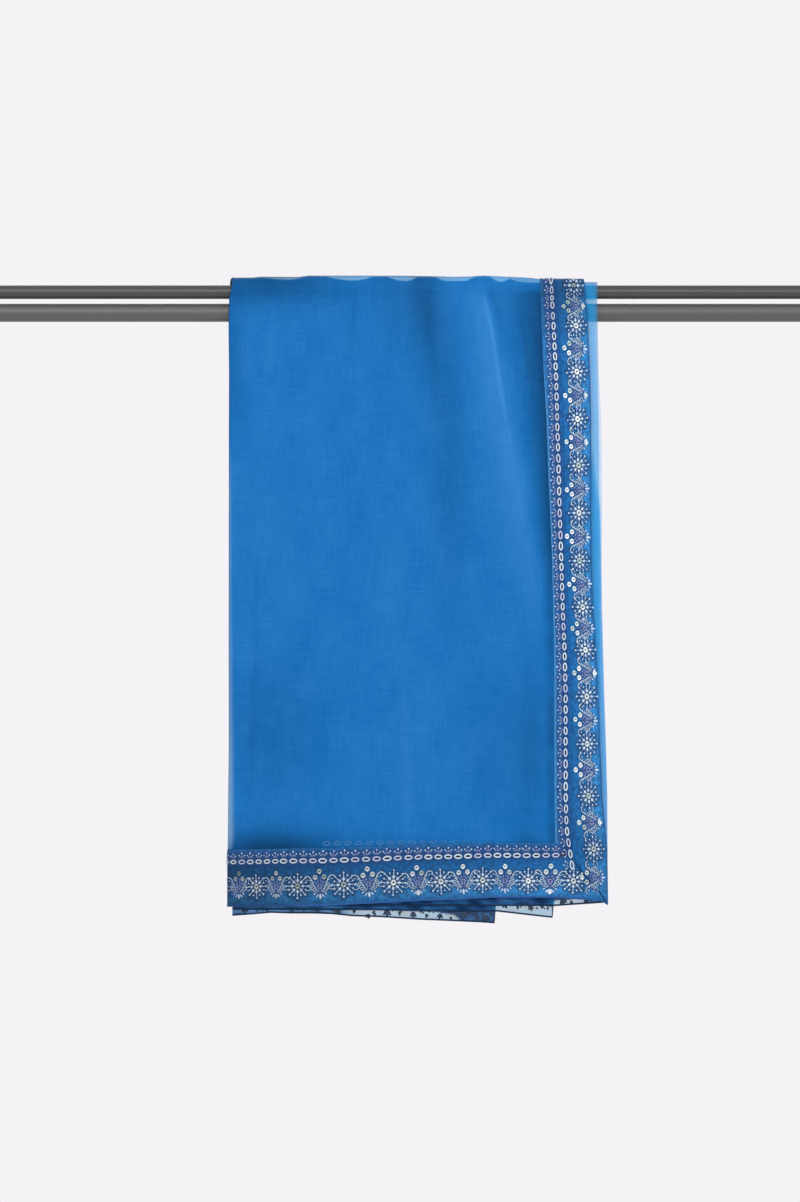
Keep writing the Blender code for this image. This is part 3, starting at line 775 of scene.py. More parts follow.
# what each kind of finish is made from: key, name, then its maker's own values in order
dyes = clothColours
finishTables = (
    # the cloth where layers lie behind it and where none do: colours, then how dense
    (organza, (
        ("outer", "organza", dyes["body"], dyes["sheer"], 0.87, 0.60),
        ("inner", "organzaHidden", dyes["deep"], dyes["deep"], 1.0, 1.0),
        ("plain", "organzaPlainFold", dyes["plain"], dyes["plainSheer"], 0.72, 0.57),
        ("plainUnder", "organzaSecondFold", dyes["body"], dyes["plainUnder"], 0.9, 0.80),
        ("underEnd", "organzaUnderEnd", dyes["underDeep"], dyes["underHem"], 0.97, 0.56),
    )),
    # the band's colours from its inner edge to its outer one
    (flowerGround, (("flowerLace", "flowerLaceGround", (
        (0.00, (0.008, 0.125, 0.380)), (0.25, (0.012, 0.165, 0.460)),
        (0.60, (0.022, 0.190, 0.500)), (0.85, (0.036, 0.265, 0.630)),
        (1.00, (0.022, 0.190, 0.500)),
    )),)),
    (ringGround, (("ringLace", "ringLaceGround", (
        (0.00, (0.020, 0.170, 0.460)), (0.40, (0.026, 0.150, 0.410)),
        (0.78, (0.020, 0.100, 0.320)), (0.92, (0.008, 0.110, 0.350)),
        (1.00, (0.008, 0.120, 0.375)),
    )),)),
    # two tints, roughness, how dark the gaps across a cord
    (thread, (
        ("silver", "silverThread", (0.64, 0.84, 1.0), (0.42, 0.60, 0.90), 0.34),
        ("cord", "cordThread", (0.58, 0.82, 1.0), (0.38, 0.58, 0.92), 0.4, 0.9),
        ("ring", "ringThread", (0.70, 0.90, 1.0), (0.54, 0.62, 0.92)),
        ("lilac", "lilacThread", (0.30, 0.44, 0.80), (0.16, 0.26, 0.62)),
        ("violet", "violetThread", (0.16, 0.25, 0.62), (0.28, 0.25, 0.58)),
        ("navy", "navyThread", (0.006, 0.026, 0.105), (0.010, 0.045, 0.160), 0.6),
        ("bead", "whiteBeads", (0.68, 0.86, 1.0), (0.40, 0.58, 0.94), 0.25),
        # near black: the stitches' wrong side, painted with the shade of their backlit faces
        ("wrongSide", "wrongSideStitches", (0.010, 0.030, 0.070), (0.04, 0.08, 0.14), 0.7),
    )),
    (veiledThread, (("ringBehind", "ringThreadBehind", (0.110, 0.330, 0.660), 0.40),)),
    (foil, (("sequin", "sequinFoil", (0.86, 0.94, 0.98), (0.40, 0.55, 0.54)),)),
    (hemThread, (
        ("hem", "hemThread", (0.010, 0.075, 0.260), (0.050, 0.150, 0.440)),
        ("sideHem", "hemThreadSide", (0.008, 0.080, 0.250), (0.020, 0.150, 0.400)),
        ("seam", "seamThread", (0.002, 0.016, 0.070), (0.008, 0.050, 0.170)),
        ("darkHem", "hemThreadWrongSide", (0.003, 0.014, 0.050), (0.010, 0.045, 0.110)),
    )),
    # two greys, roughness, how metallic
    (brushedSteel, (
        ("upperSteel", "steelUpper", (0.056, 0.055, 0.056), (0.078, 0.076, 0.075), 0.10, 0.15),
        ("lowerSteel", "steelLower", (0.098, 0.100, 0.102), (0.145, 0.143, 0.136), 0.40, 0.50),
    )),
)
finishes = {key: maker(*values) for maker, rows in finishTables for key, *values in rows}
print("finishes made")


# the outer panel

outerSheet = {
    "columns": 236,
    "foldColumns": 16,
    "frontRows": 196,
    "arcRows": 50,
    "backRows": 70,
    "footRows": 16,
    "flat": (0.366, 1.168),
}

# broad changes of the cloth's colour: painted shade and light of its folds, with deeper colour
# where more layers lie behind it: across, fall, half width, half height (mm), lean (mm across for
# each mm down), change
clothShadingAndDepth = (
    (-120, 0, 70, 22, 0.0, -0.46),
    (-150, 70, 9, 60, 0.0, -0.18),
    (20, 15, 16, 55, 0.06, -0.36),
    (-8, 8, 14, 38, 0.0, -0.14),
    (44, 130, 16, 120, 0.02, -0.18),
    (121, 285, 10, 25, 0.0, 0.10),
    (118, 420, 14, 60, 0.0, -0.19),
    (-125, 240, 30, 90, 0.0, 0.05),
    (-115, 405, 38, 55, 0.0, -0.16),
    (90, 430, 30, 60, 0.0, -0.08),
    (18, 430, 20, 80, 0.0, 0.05),
    (-6, 265, 14, 45, 0.0, 0.05),
    (-115, 514, 58, 19, 0.0, -0.72),
    (10, 516, 62, 14, 0.0, -0.34),
    (116, 514, 16, 15, 0.0, -0.42),
)


# the slanting fold that runs down to the border: fall, across (mm), how much painted light its
# face takes
slantFold = (
    (0, 74, 0.02), (27, 79, 0.05), (45, 83, 0.10), (72, 86.6, 0.14), (99, 90.6, 0.13),
    (126, 95.6, 0.15), (162, 102.3, 0.17), (198, 109, 0.17), (238, 116, 0.15), (262, 120.5, 0.12),
)


def slantShading(across, run):
    # painted light up to the fold's edge, from 23 mm to its left; past it, painted shade darkening
    # towards the lace
    edge = tableAt(slantFold, -run)
    pale = tableAt(slantFold, -run, 2, 1)
    side = across - edge
    share = np.clip(side / (lineAt("laceEdge", run) - edge), 0, 1)
    left = 0.20 * bell(side, 23 * mm)
    right = pale * (1 - share) - 0.60 * share**1.5
    # a painted highlight along the fold's edge, gone lower down
    line = 0.13 * bell(side, 1.1 * mm) * (1 - smoothStep(-run, 120 * mm, 170 * mm))
    # a painted shadow in a pleat 8 mm past the edge, near the top
    pleatShade = -0.15 * bell(side - 8 * mm, 4 * mm) * (1 - smoothStep(-run, 30 * mm, 60 * mm))
    fading = within(-run / mm, 2, 16, 235, 290)
    return (np.where(side < 0, left, right) + line + pleatShade) * fading


def panelShadingAndDepth(across, run):
    # a bell for each row of the table, painted shade where it darkens and painted light where it
    # pales, with the depth of layers behind; a dark line along the crest; and painted light and shade
    # on the creases
    tone = np.zeros(np.broadcast(across, run).shape)
    for at, fall, halfWidth, halfHeight, lean, change in clothShadingAndDepth:
        aside = (across - at * mm - lean * (-run - fall * mm)) / (halfWidth * mm)
        down = (-run - fall * mm) / (halfHeight * mm)
        tone = tone + change * np.exp(-(aside**2) - down**2)
    crestLine = 1 - smoothStep(np.abs(run), 1.4 * mm, 2.6 * mm)
    # painted shadow of the lace beside its inner edge, stronger and weaker by turns
    laceShadow = bell(lineAt("laceEdge", run) - 2.5 * mm - across, 4.5 * mm)
    laceShadow = laceShadow * smoothStep(-run, 225 * mm, 290 * mm)
    tone = tone - laceShadow * (0.27 + 0.07 * np.sin(run / 0.017 + 1.2 * np.sin(run / 0.006)))
    # painted light and shade of the slanting fold; painted light on raised creases, shade on sunken ones
    tone = tone + slantShading(across, run) + creaseRelief(across, run) / (4.4 * mm)
    backPatch = 0.10 * np.sin(across / 0.045 + run / 0.11) * (run > 30 * mm)
    return tone - 0.35 * crestLine + backPatch


# painted backlight where a single fold at the left lets light through: fall, how much, how far
# in (mm)
backlightFold = (
    (0, 0, 0), (150, 0, 0), (200, 0.30, 0.3), (300, 0.32, 0.3), (390, 0.45, 1.5),
    (440, 0.62, 2.6), (498, 0.70, 4.2), (509, 0.45, 3.0), (514, 0, 0),
)


def backlightShare(across, run):
    # the table's strength at the left fold, gone at its reach inward
    strength, reach = tableAt(backlightFold, -run, 1, 1), tableAt(backlightFold, -run, 2)
    return strength * (1 - smoothStep(across - folds["left"], -2.6 * mm, reach)) * (run < 0)


def drawnIn(run):
    # where the hidden layers stand back from the left fold, and it lets light through
    return within(-run / mm, 290, 345, 500, 530)


def panelOpenness(across, run, height):
    # 1 above the hidden layers' top at the crest, and at the left fold where they draw in
    crown = rods["upperHeight"] + rods["upperRadius"] + depths["outerFace"] - 0.5 * mm
    top = crown + humpRelief(across, 0 * run)
    crest = smoothStep(height - top, -0.5 * mm, 0.6 * mm) * (np.abs(run) < 14 * mm)
    crest = crest * (1 - 0.45 * (1 - smoothStep(np.abs(run), 1.4 * mm, 2.6 * mm)))
    crest = crest * (1 - 0.3 * smoothStep(across, 98 * mm, 104 * mm))
    foot = smoothStep(run - folds["backLength"], -2 * mm, 3 * mm)
    return np.maximum(crest, foot * 0.4)


def outerCloth():
    # grid: across from the tucked-in edge round the left fold to the free edge, and along the
    # run from the front hem over the rods, down the back, round its foot and up inside
    s = outerSheet
    left, foot, halfHem = folds["left"], folds["backLength"], folds["hemWidth"] * 0.5
    wrap = foldWrap + folds["tuck"]
    inward = np.concatenate([-wrap * (1 - evenly(0, 1, s["foldColumns"])) ** 1.4,
                             np.zeros(s["columns"] + 1)])
    share = np.pad(np.linspace(0, 1, s["columns"] + 1), (s["foldColumns"], 0))
    hem = runToHeight(hemAt("front", left + share * (folds["corner"] - left))) + halfHem
    run = stacked(
        hem + evenly(0, 1, s["frontRows"])[:, None] * (-overRods - hem),
        evenly(-overRods, overRods, 2 * s["arcRows"])[:, None],
        np.linspace(overRods, foot, s["backRows"] + 1)[:, None],
        foot + np.linspace(0, 1, s["footRows"] + 1)[1:, None] ** 1.4 * wrap,
    )
    edge = lineAt("freeEdge", np.minimum(run, foot)) - halfHem
    across = left + inward + share * (edge - left)
    points = clothPoint(across, run, depths["panel"])
    return makeSheet("outer_cloth", points, finishes["outer"], across, run,
                     open=panelOpenness(across, run, points[..., 2]),
                     tone=panelShadingAndDepth(across, run), faded=backlightShare(across, run))


outerPiece = finishPiece(outerCloth(), "organza", "panel_outer")
print("outer cloth hung:", len(outerPiece.data.vertices), "points")


# the hidden layers, one rounded fold of cloth under it

innerSheet = {
    "columns": 120,
    "hangRows": 60,
    "arcRows": 20,
    "insideRows": 24,
    "width": 325 * mm,
    "footHeightAbove": 5.0 * mm,
    # how far the left edge stands out past the outer panel's fold, and draws in from there
    "leftOut": 1.0 * mm,
    "drawnIn": 4.4 * mm,
    "crestIn": 1.6 * mm,
    "flat": (0.660, 1.105),
}


def coreEdges(run):
    # left and right edges of the hidden layers; the left one draws in down the front
    s = innerSheet
    left = folds["left"] - s["leftOut"] + s["drawnIn"] * drawnIn(run) + s["crestIn"] * crestShare(run)
    return left + foldWander(folds["left"], run), lineAt("freeEdge", run) - folds["coreMargin"]


def innerCloth():
    # a closed section carried across: up the front's outer face, over the crest, down the back,
    # round its foot and back along the inner face; its thickness is round at both sides
    s = innerSheet
    middle, foot = depths["pivot"], folds["backLength"]
    half = depths["outerFace"] - middle
    quarter = evenly(-pi / 2, 0, 6)
    bend = np.concatenate([quarter, np.zeros(s["columns"] + 1), -quarter[::-1]])
    share = np.pad(np.linspace(0, 1, s["columns"] + 1), len(quarter), "edge")
    thick = np.cos(bend)
    hem = runToHeight(hemAt("front", folds["left"] + share * s["width"]) + s["footHeightAbove"])
    arc = overRodRuns(s["arcRows"])[:, None]
    outer = stacked(
        hem + evenly(0, 1, s["hangRows"])[:, None] * (-overRods - hem), arc,
        np.linspace(overRods, foot, s["hangRows"] + 1)[1:, None],
    )
    inner = stacked(
        evenly(foot, overRods, s["insideRows"])[:, None], arc[::-1],
        -overRods + np.linspace(0, 1, s["insideRows"] + 1)[1:, None] * (hem + overRods),
    )
    turn = np.linspace(0, pi, 9)[1:-1, None]
    run = stacked(outer, foot + 0 * turn, inner)
    turn = np.concatenate([0 * outer[:, :1], turn, pi + 0 * inner[:, :1]])
    left, right = coreEdges(run)
    across = left + share * (right - left) + half * np.sin(bend)
    lift = humpRelief(across, run) * (np.cos(turn) + 1) / 2 * thick
    points = draped(across, run, middle + np.cos(turn) * thick * half + lift)
    points[..., 2] -= np.sin(turn) * half * thick
    tone = 0.10 * np.sin(across / 0.031 + 1.0)
    return makeSheet("inner_cloth", points, finishes["inner"], across, run, True, open=0, tone=tone)


innerPiece = finishPiece(innerCloth(), "organza_folds", "panel_folds")
print("hidden layers folded")


# the plain fold beyond the border, and a second one under it lower down

plainFold = {
    "inside": 16 * mm,
    "columns": 12,
    "rows": 150,
    "backRows": 90,
    "arcRows": 20,
    "flat": (0.025, 1.12),
    "depth": 2.4 * mm,
    "radius": 0.30 * mm,
    # sheer at its outer edge: share, and how far in it starts; most of it only down to this fall
    "sheerEdge": (0.62, 3.6 * mm),
    "sheerFall": (175 * mm, 225 * mm),
    # closed where it lies on the rods: falls on the front and runs on the back
    "onRods": ((31 * mm, 34 * mm), (-8 * mm, 4 * mm)),
    # the second fold's edge: run (mm), distance in from the first one's edge (mm)
    "secondEdge": ((-562, 0.4), (-250, 0.6), (-205, 1.6), (-145, 9.0), (-110, 14.0)),
    "secondFlat": (0.022, 0.45),
    "secondDepth": 1.1 * mm,
    "secondTop": (-112 * mm, 110),  # its upper end and its rows
}


def foldStrip(name, finish, runs, inset, depth, opening):
    # a narrow strip: out along its face, round its edge and a little way back under itself
    p = plainFold
    turn = np.linspace(-pi / 2, pi / 2, 7)
    radius = p["radius"]
    way = np.linspace(0, 1, p["columns"])
    run = runs[:, None]
    edge = lineAt("plainFold", run) - inset[:, None] - radius
    start = np.minimum(lineAt("freeEdge", run) - p["inside"], edge - 3 * mm)
    across = np.concatenate([start + way * (edge - start), edge + radius * np.cos(turn[1:])], 1)
    level = np.concatenate([1 + 0 * way, -np.sin(turn[1:])])
    fading = np.where(run < 0, 1 - smoothStep(-run, *p["sheerFall"]) * 0.85, 0.3)
    sheer, reach = p["sheerEdge"]
    cover = 1 - sheer * fading * smoothStep(across, edge - reach, edge + radius)
    cover = cover * (1 - 0.24 * rodGap(run))
    wave = 0.35 * mm * np.sin(run / 0.052 + 0.8) * smoothStep(np.abs(run), 30 * mm, 70 * mm)
    points = draped(across, run, depth + level * radius + np.maximum(wave, -0.2 * mm))
    return makeSheet(name, points, finish, across, run, open=opening[:, None], tone=0, cover=cover)


def plainFolds():
    # one fold from hem to back, less open on the rods, and a shorter one under it
    p = plainFold
    foot = float(runToHeight(hemAt("short", 182 * mm)))
    runs = np.concatenate([
        evenly(foot, -overRods, p["rows"]), overRodRuns(p["arcRows"]),
        np.linspace(overRods, folds["backLength"] + 1 * mm, p["backRows"])[1:],
    ])
    front, back = p["onRods"]
    onRods = 1 - smoothStep(-runs, *front) - smoothStep(runs, *back)
    first = foldStrip("plain_fold", finishes["plain"], runs, 0 * runs, p["depth"],
                      1 - onRods * (1 - rodGap(runs)))
    lower = np.linspace(foot, *p["secondTop"])
    second = foldStrip("second_plain_fold", finishes["plainUnder"], lower,
                       tableAt(p["secondEdge"], lower), p["secondDepth"], 1 + 0 * lower)
    return first, second


plainPiece, secondPlainPiece = plainFolds()
finishPiece(plainPiece, "organza")
finishPiece(secondPlainPiece, "organza")
print("plain folds laid beyond the border")


# the ends of the hidden layers, below the front hem

underEnds = {
    "top": 14 * mm,  # how far each one starts above the front hem
    "thinning": (36 * mm, 58 * mm),  # how far left of the middle they start and end thinning out
    "flatHeights": {"short": 17.1 * mm, "middle": 21.7 * mm, "long": 26.1 * mm},
    "columns": 170,
    "rows": 30,
    # name: right end, how far its corner draws in, depth, then its lace's lower edge: across,
    # height above the hem (mm)
    "short": (186.0, 0, 3.0, ((-154, 0), (136, 0), (139, 4.5), (186, 4.5))),
    "middle": (139.4, 2.8, 2.0, ((-154, 0), (84, 0), (88, 12.0), (134, 12.5), (138, 4.0))),
    "long": (
        87.0, 2.4, 1.0,
        ((-154, 9.0), (-70, 8.5), (-40, 5.5), (30, 7.2), (48, 5.0), (54, 0.5), (86, 0.4)),
    ),
}


def underEnd(name):
    # a flat strip that hangs from inside the hidden layers to its own hem line; sheer below
    # its lace's ragged lower edge
    right, drawn, depth, laceEdge = underEnds[name]
    way = np.linspace(0, 1, underEnds["rows"])[:, None]
    start = folds["left"] + 0.2 * mm
    share = np.linspace(0, 1, underEnds["columns"])
    across = start + share * (right * mm - drawn * mm * (1 - way) - start)
    low = runToHeight(hemAt(name, across))
    high = runToHeight(hemAt("front", across) + underEnds["top"])
    run = low + way * (high - low)
    sway = 0.25 * mm * np.sin(across / 0.021 + depth) * (1 - way)
    edge = tableAt(laceEdge, across)
    edge = edge + 0.5 * mm * np.sin(across / 0.0029 + depth) * np.sin(across / 0.0113)
    sheer = 1 - smoothStep(run - low, edge - 0.5 * mm, edge + 0.5 * mm)
    # towards the left the layers under it thin out: half sheer and paler, in patches
    left = smoothStep(-across, *underEnds["thinning"])
    patches = 0.5 + 0.5 * np.sin(across / 0.0052 + 1.0) * np.sin(across / 0.0131 + (run - low) / 0.004)
    strip = 1 - smoothStep(run - low, 1.6 * mm, 2.6 * mm)
    tone = left * (0.12 + 0.36 * patches - 0.08 * strip)
    sheer = sheer * (1 - left * (0.96 - 0.10 * patches + 0.04 * strip))
    blots = np.sin(across / 0.0047 + depth) * np.sin(across / 0.0109 + run / 0.0026)
    tone = tone - (1 - left) * 0.55 * np.clip(blots, 0, 1) + (1 - left) * 0.10 * np.clip(-blots, 0, 1)
    return makeSheet("under_end_" + name, draped(across, run, depth * mm + sway),
                     finishes["underEnd"], across, run, open=sheer, tone=tone)


underPieces = {name: finishPiece(underEnd(name), "organza_folds") for name in ("short", "middle", "long")}
print("under ends hung")


# where the motifs stand: run of each flower down the front (mm), then even steps down the back
motifPlaces = {
    "sideFlowers": tuple(-row[0] for row in frontLines[1:14]),
    "backPitch": 42.5,
    "backCount": 13,
    "lastSideBud": -536,
    "endFlowers": (-128.9, -91.9, -50.5, -5.9, 36.6, 74.2, 115.0, 155.6),
    "endBuds": (-144.1, -111.1, -71.9, -28.3, 15.8, 56.8, 94.2, 134.8),
    # a ring's number and its place along the chain (mm); even steps between
    "sideRings": (
        (1, -524.9), (12, -413.9), (20, -337.6), (30, -248.5), (40, -150), (50, -59.4),
        (54, -23.0), (57, -3.4), (116, 552.4),
    ),
    "endRings": (
        (-2, -161.9), (0, -149), (6, -104.5), (10, -69.4), (14, -30.5), (18, 7.6), (25, 70),
        (33, 139.8),
    ),
    # motifs at the crest are this share of the others' size, within this run of it
    "crestSize": (0.72, 28),
    # sizes outward from the cloth's body, on the side and at the end
    "sideOutward": 0.82,
    "endOutward": 1.0,
    # sizes of the end's first flowers and buds, closer together
    "endFlowerSizes": (0.80, 0.90, 1, 1, 0.95, 0.95, 0.95, 0.95),
    "endBudSizes": (0.74, 0.82, 0.94, 1, 0.95, 0.92, 0.95, 0.95),
}


def motifRun(kind):
    # every flower and bud in order along the side or the end (m), numbered from 1, a bud
    m = motifPlaces
    if kind == "end":
        return np.array(sorted([*m["endFlowers"], *m["endBuds"]])) * mm
    back = [m["backPitch"] * (k + 1) for k in range(m["backCount"])]
    flowers = np.array(sorted([*m["sideFlowers"], *back]))
    buds = (flowers[:-1] + flowers[1:]) / 2
    return np.array(sorted([m["lastSideBud"], *flowers, *buds])) * mm


def motifNumber(kind, along):
    # counts the motifs, with even steps between two and one more at each end
    spots = motifRun(kind)
    spots = np.concatenate([[2 * spots[0] - spots[1]], spots, [2 * spots[-1] - spots[-2]]])
    return np.interp(along, spots, np.arange(len(spots)))


def motifPitch(kind, along):
    # the step between the two motifs on either side
    spots = motifRun(kind)
    steps = np.diff(spots)
    return steps[np.clip(np.searchsorted(spots, along) - 1, 0, len(steps) - 1)]


def ringNumber(kind, along):
    # counts the rings, with even steps between the table's rows
    rows = motifPlaces[kind + "Rings"]
    return np.interp(along, column(rows, 1), column(rows, 0, 1))


# the laces' grounds

borderForm = {
    "height": 50.0 * mm,
    "seamShare": 0.31,  # from the band's top
    "flowerShare": 0.70,
    "chainShare": 0.72,  # across the ring lace, from its inner edge
    "cornerRows": 30,
    "gap": 0.15 * mm,
    "mitre": (139.5, 185.0),  # across, at the border's inner and outer corner
    "sideRows": (150, 26, 120),
    "endColumns": (10, 150, 24),  # round the left fold, to the common line, to the mitre
    "endCommon": 128 * mm,
}
chainLine = borderForm["chainShare"] * borderForm["seamShare"]  # the rings' line, from the band's top

# how far the end border's rings and flowers stand up from their even lines: across, mm
endShifts = {
    "rings": (
        (-135, -0.3), (-100, 0.2), (-63, 0.1), (-27, -0.5), (9, -1.0), (45, -1.5), (81, -2.2),
        (117, -2.4), (140, -2.2), (150, 0),
    ),
    "flowers": (
        (-145, 1.3), (-110, 1.3), (-50, 1.6), (-6, 1.1), (15, 0.3), (57, 0), (94, -0.9),
        (115, -1.4), (134, -1.4), (155, -0.2),
    ),
}

# how far the side's chain of rings stands from its even line: fall, across (mm)
chainShift = (
    (0, -0.4), (90, -0.4), (125, -1.0), (300, -1.1), (370, -0.7), (480, -0.8), (495, -0.3),
    (506, 1.0), (516, 2.6), (526, 4.0),
)


def endHeight(share, across):
    # height of a line of the end border, a share of the way down from its top
    rings, flowers = (tableAt(endShifts[key], across) for key in ("rings", "flowers"))
    seam, line = borderForm["seamShare"], borderForm["flowerShare"]
    way = np.clip((share - seam) / (line - seam), 0, 1)
    shift = (rings * (1 - way) + flowers * way) * np.clip((1 - share) / (1 - line), 0, 1)
    return hemAt("front", across) + 1.6 * mm + (1 - share) * borderForm["height"] + shift


def mitreAcross(share):
    # straight from the border's inner corner to its outer one
    inner, outer = borderForm["mitre"]
    return (inner + share * (outer - inner)) * mm


# the end border's painted shade, darkest at its left: across (mm), change; the side's change of
# tone: from and to a fall, change
endShades = ((-156, -0.70), (-100, -0.56), (-30, -0.40), (60, -0.27), (140, -0.12))
sideTones = ((380 * mm, 450 * mm, -0.08), (475 * mm, 505 * mm, -0.17))


def borderTone(across, run):
    # the end border is darker with painted shade, darkest at its left end; the side border brightest
    # midway; both darker near the crest
    end = smoothStep(-run, 500 * mm, 530 * mm) * (1 - smoothStep(across, 135 * mm, 160 * mm))
    crest = -0.45 * (1 - smoothStep(np.abs(run), 8 * mm, 60 * mm))
    low = sum(change * smoothStep(-run, start, full) for start, full, change in sideTones)
    return end * tableAt(endShades, across, unit=1) + (1 - end) * low + crest


def chainAt(run):
    # the side's line of rings
    inner, seam = lineAt("laceEdge", run), lineAt("seam", run)
    shift = tableAt(chainShift, -run)
    return inner + borderForm["chainShare"] * (seam - inner) + shift


def sideLace(name, finish, inner, outer, shareIn, shareOut, columns):
    # across between two of the border's lines, from the mitre up, over and down the back
    way = np.linspace(0, 1, columns + 1)
    share = shareIn + way * (shareOut - shareIn)
    corner = runToHeight(endHeight(share, mitreAcross(share))) + borderForm["gap"]
    common = float(corner.max()) + 2 * mm
    low = evenly(0, 1, borderForm["cornerRows"])[:, None]
    run = stacked(corner + low * (common - corner), runsFrom(common, *borderForm["sideRows"])[:, None])
    hung = np.minimum(run, folds["backLength"])
    left, right = lineAt(inner, hung), lineAt(outer, hung)
    if outer == "freeEdge":
        right = right - 0.5 * mm
    across = left + 0.1 * mm + way * (right - left - 0.2 * mm)
    outward = across - (lineAt("flowers", hung) if outer == "freeEdge" else chainAt(hung))
    return makeSheet(
        name, clothPoint(across, run, depths["lace"]), finish, run, way, width=right - left,
        tone=borderTone(across, run), motif=motifNumber("side", run), pitch=motifPitch("side", run),
        chain=ringNumber("side", run), selvedge=smoothStep(-run, 50 * mm, 140 * mm),
        outward=outward / motifPlaces["sideOutward"],
    )


def endLace(name, finish, shareTop, shareFoot, rows):
    # along the end, from round the left fold to the mitre
    way = np.linspace(0, 1, rows + 1)[:, None]
    share = shareTop + way * (shareFoot - shareTop)
    left, height, common = folds["left"], borderForm["height"], borderForm["endCommon"]
    roundFold, toCommon, toCorner = borderForm["endColumns"]
    start = np.concatenate([evenly(left - foldWrap, left, roundFold), evenly(left, common, toCommon)])
    corner = mitreAcross(share) - borderForm["gap"]
    rest = common + np.linspace(0, 1, toCorner) * (corner - common)
    across = np.concatenate([start + 0 * share, rest], 1)
    run = runToHeight(endHeight(share, np.maximum(across, left)))
    line = chainLine if shareFoot < borderForm["flowerShare"] else borderForm["flowerShare"]
    return makeSheet(
        name, clothPoint(across, run, depths["lace"] - 0.05 * mm), finish, across, way, flipped=True,
        width=(shareFoot - shareTop) * height, tone=borderTone(across, run),
        motif=motifNumber("end", across), pitch=motifPitch("end", across),
        chain=ringNumber("end", across), outward=(share - line) * height,
    )


seamAt = borderForm["seamShare"]
laceTable = (
    (sideLace, "flower_lace_side", "flowerLace", "border_side", ("seam", "freeEdge", seamAt, 1, 16)),
    (sideLace, "ring_lace_side", "ringLace", "trim_side", ("laceEdge", "seam", 0, seamAt, 9)),
    (endLace, "flower_lace_end", "flowerLace", "border_end", (seamAt, 1, 16)),
    (endLace, "ring_lace_end", "ringLace", "trim_end", (0, seamAt, 8)),
)
laces = [
    finishPiece(lace(name, finishes[finish], *values), name.rsplit("_", 1)[0], node)
    for lace, name, finish, node, values in laceTable
]
print("laces sewn on")


# rolled edges

edgeForm = {
    "endRadius": 0.8 * mm,
    "sideRadius": 0.5 * mm,
    "seamRadius": 0.42 * mm,
    "seamStart": 0.55,  # the mitre's seam starts at this share of the narrow lace
    "endColumns": (14, 230),  # round the left fold, then to the corner
    "sideRows": (190, 24, 160),
    # painted shade at the end hem's left, as on the end border
    "leftShade": (-0.45, -112 * mm, -78 * mm),  # change of tone, where it is full and gone
}


def tubeFaces(rings, sides):
    # quads between rings of a tube, and its two ends
    number = np.arange(rings * sides).reshape(rings, sides)
    onward = np.roll(number, -1, 1)
    quads = np.stack([number[:-1], onward[:-1], onward[1:], number[1:]], -1).reshape(-1, 4)
    return quads, [number[0][::-1], number[-1]]


def rolledEdge(name, finish, across, run, depth, outward, radius, sides=8, tone=0.0,
               toPoint=clothPoint):
    # a tube along an edge at (across, run, depth): a circle in the plane of its depth and of
    # outward, a unit step in (across, run)
    angle = evenly(0, 2 * pi, sides)
    out = radius * np.cos(angle)
    points = toPoint(across[:, None] + out * outward[0], run[:, None] + out * outward[1],
                     depth + radius * np.sin(angle))
    step = np.linalg.norm(np.diff(points.mean(1), axis=0), axis=1)
    length = np.concatenate([[0], np.cumsum(step)])[:, None]
    quads, caps = tubeFaces(len(points), sides)
    return makeMesh(name, points, quads.tolist() + np.stack(caps).tolist(), finishes[finish],
                    paired(length, angle / (2 * pi)), {"tone": tone + np.zeros(points.shape[:2])})


def rolledEdges():
    # the end's hem, the free edge's, and the seam up the mitre
    e = edgeForm
    left, (roundFold, toCorner) = folds["left"], e["endColumns"]
    across = np.concatenate([
        evenly(left - foldWrap, left, roundFold), np.linspace(left, folds["corner"], toCorner),
    ])
    run = runToHeight(hemAt("front", np.maximum(across, left)) + e["endRadius"])
    change, full, gone = e["leftShade"]
    darker = change * (1 - smoothStep(across, full, gone))[:, None]
    end = rolledEdge("hem_end_roll", "hem", across, run, depths["hem"], (0, -1), e["endRadius"],
                     tone=darker)
    run = runsFrom(float(runToHeight(hemAt("front", folds["corner"]))), *e["sideRows"])
    edge = lineAt("freeEdge", np.minimum(run, folds["backLength"]))
    side = rolledEdge("hem_side_roll", "sideHem", edge, run, depths["hem"], (1, 0), e["sideRadius"])
    share = np.linspace(borderForm["seamShare"] * e["seamStart"], 1, 60)
    across = mitreAcross(share) - 0.2 * mm
    mitre = rolledEdge("mitre_seam", "seam", across, runToHeight(endHeight(share, across)),
                       depths["lace"] + 0.15 * mm, (0.72, 0.69), e["seamRadius"], 6)
    finishPiece(mitre, "hem_thread")
    finishPiece(end, "hem_thread", "hem_end")
    finishPiece(side, "hem_thread", "hem_side")
    return end, side, mitre


def underEdges():
    # the hems of the under ends, and the cut sides of the two narrower ones
    for name in ("short", "middle", "long"):
        right, drawn, depth = underEnds[name][:3]
        across = np.linspace(folds["left"] + 0.2 * mm, (right - drawn) * mm, 200)
        run = runToHeight(hemAt(name, across) + 0.3 * mm)
        roll = rolledEdge("under_hem_" + name, "darkHem", across, run, depth * mm, (0, -1),
                          edgeForm["endRadius"], 6, toPoint=draped)
        finishPiece(roll, "hem_thread")
    for name in ("middle", "long"):
        right, drawn, depth = underEnds[name][:3]
        low = float(runToHeight(hemAt(name, (right - drawn) * mm)))
        high = float(runToHeight(hemAt("front", right * mm) + underEnds["top"]))
        share = np.linspace(0, 1, 12)
        roll = rolledEdge("under_side_" + name, "darkHem", (right - drawn * (1 - share)) * mm,
                          low + share * (high - low), depth * mm, (1, 0),
                          edgeForm["sideRadius"], 6, toPoint=draped)
        finishPiece(roll, "hem_thread")


hemEndPiece, hemSidePiece, mitrePiece = rolledEdges()
underEdges()
print("edges rolled")


# embroidery: small closed shapes, each laid on the border's own lines


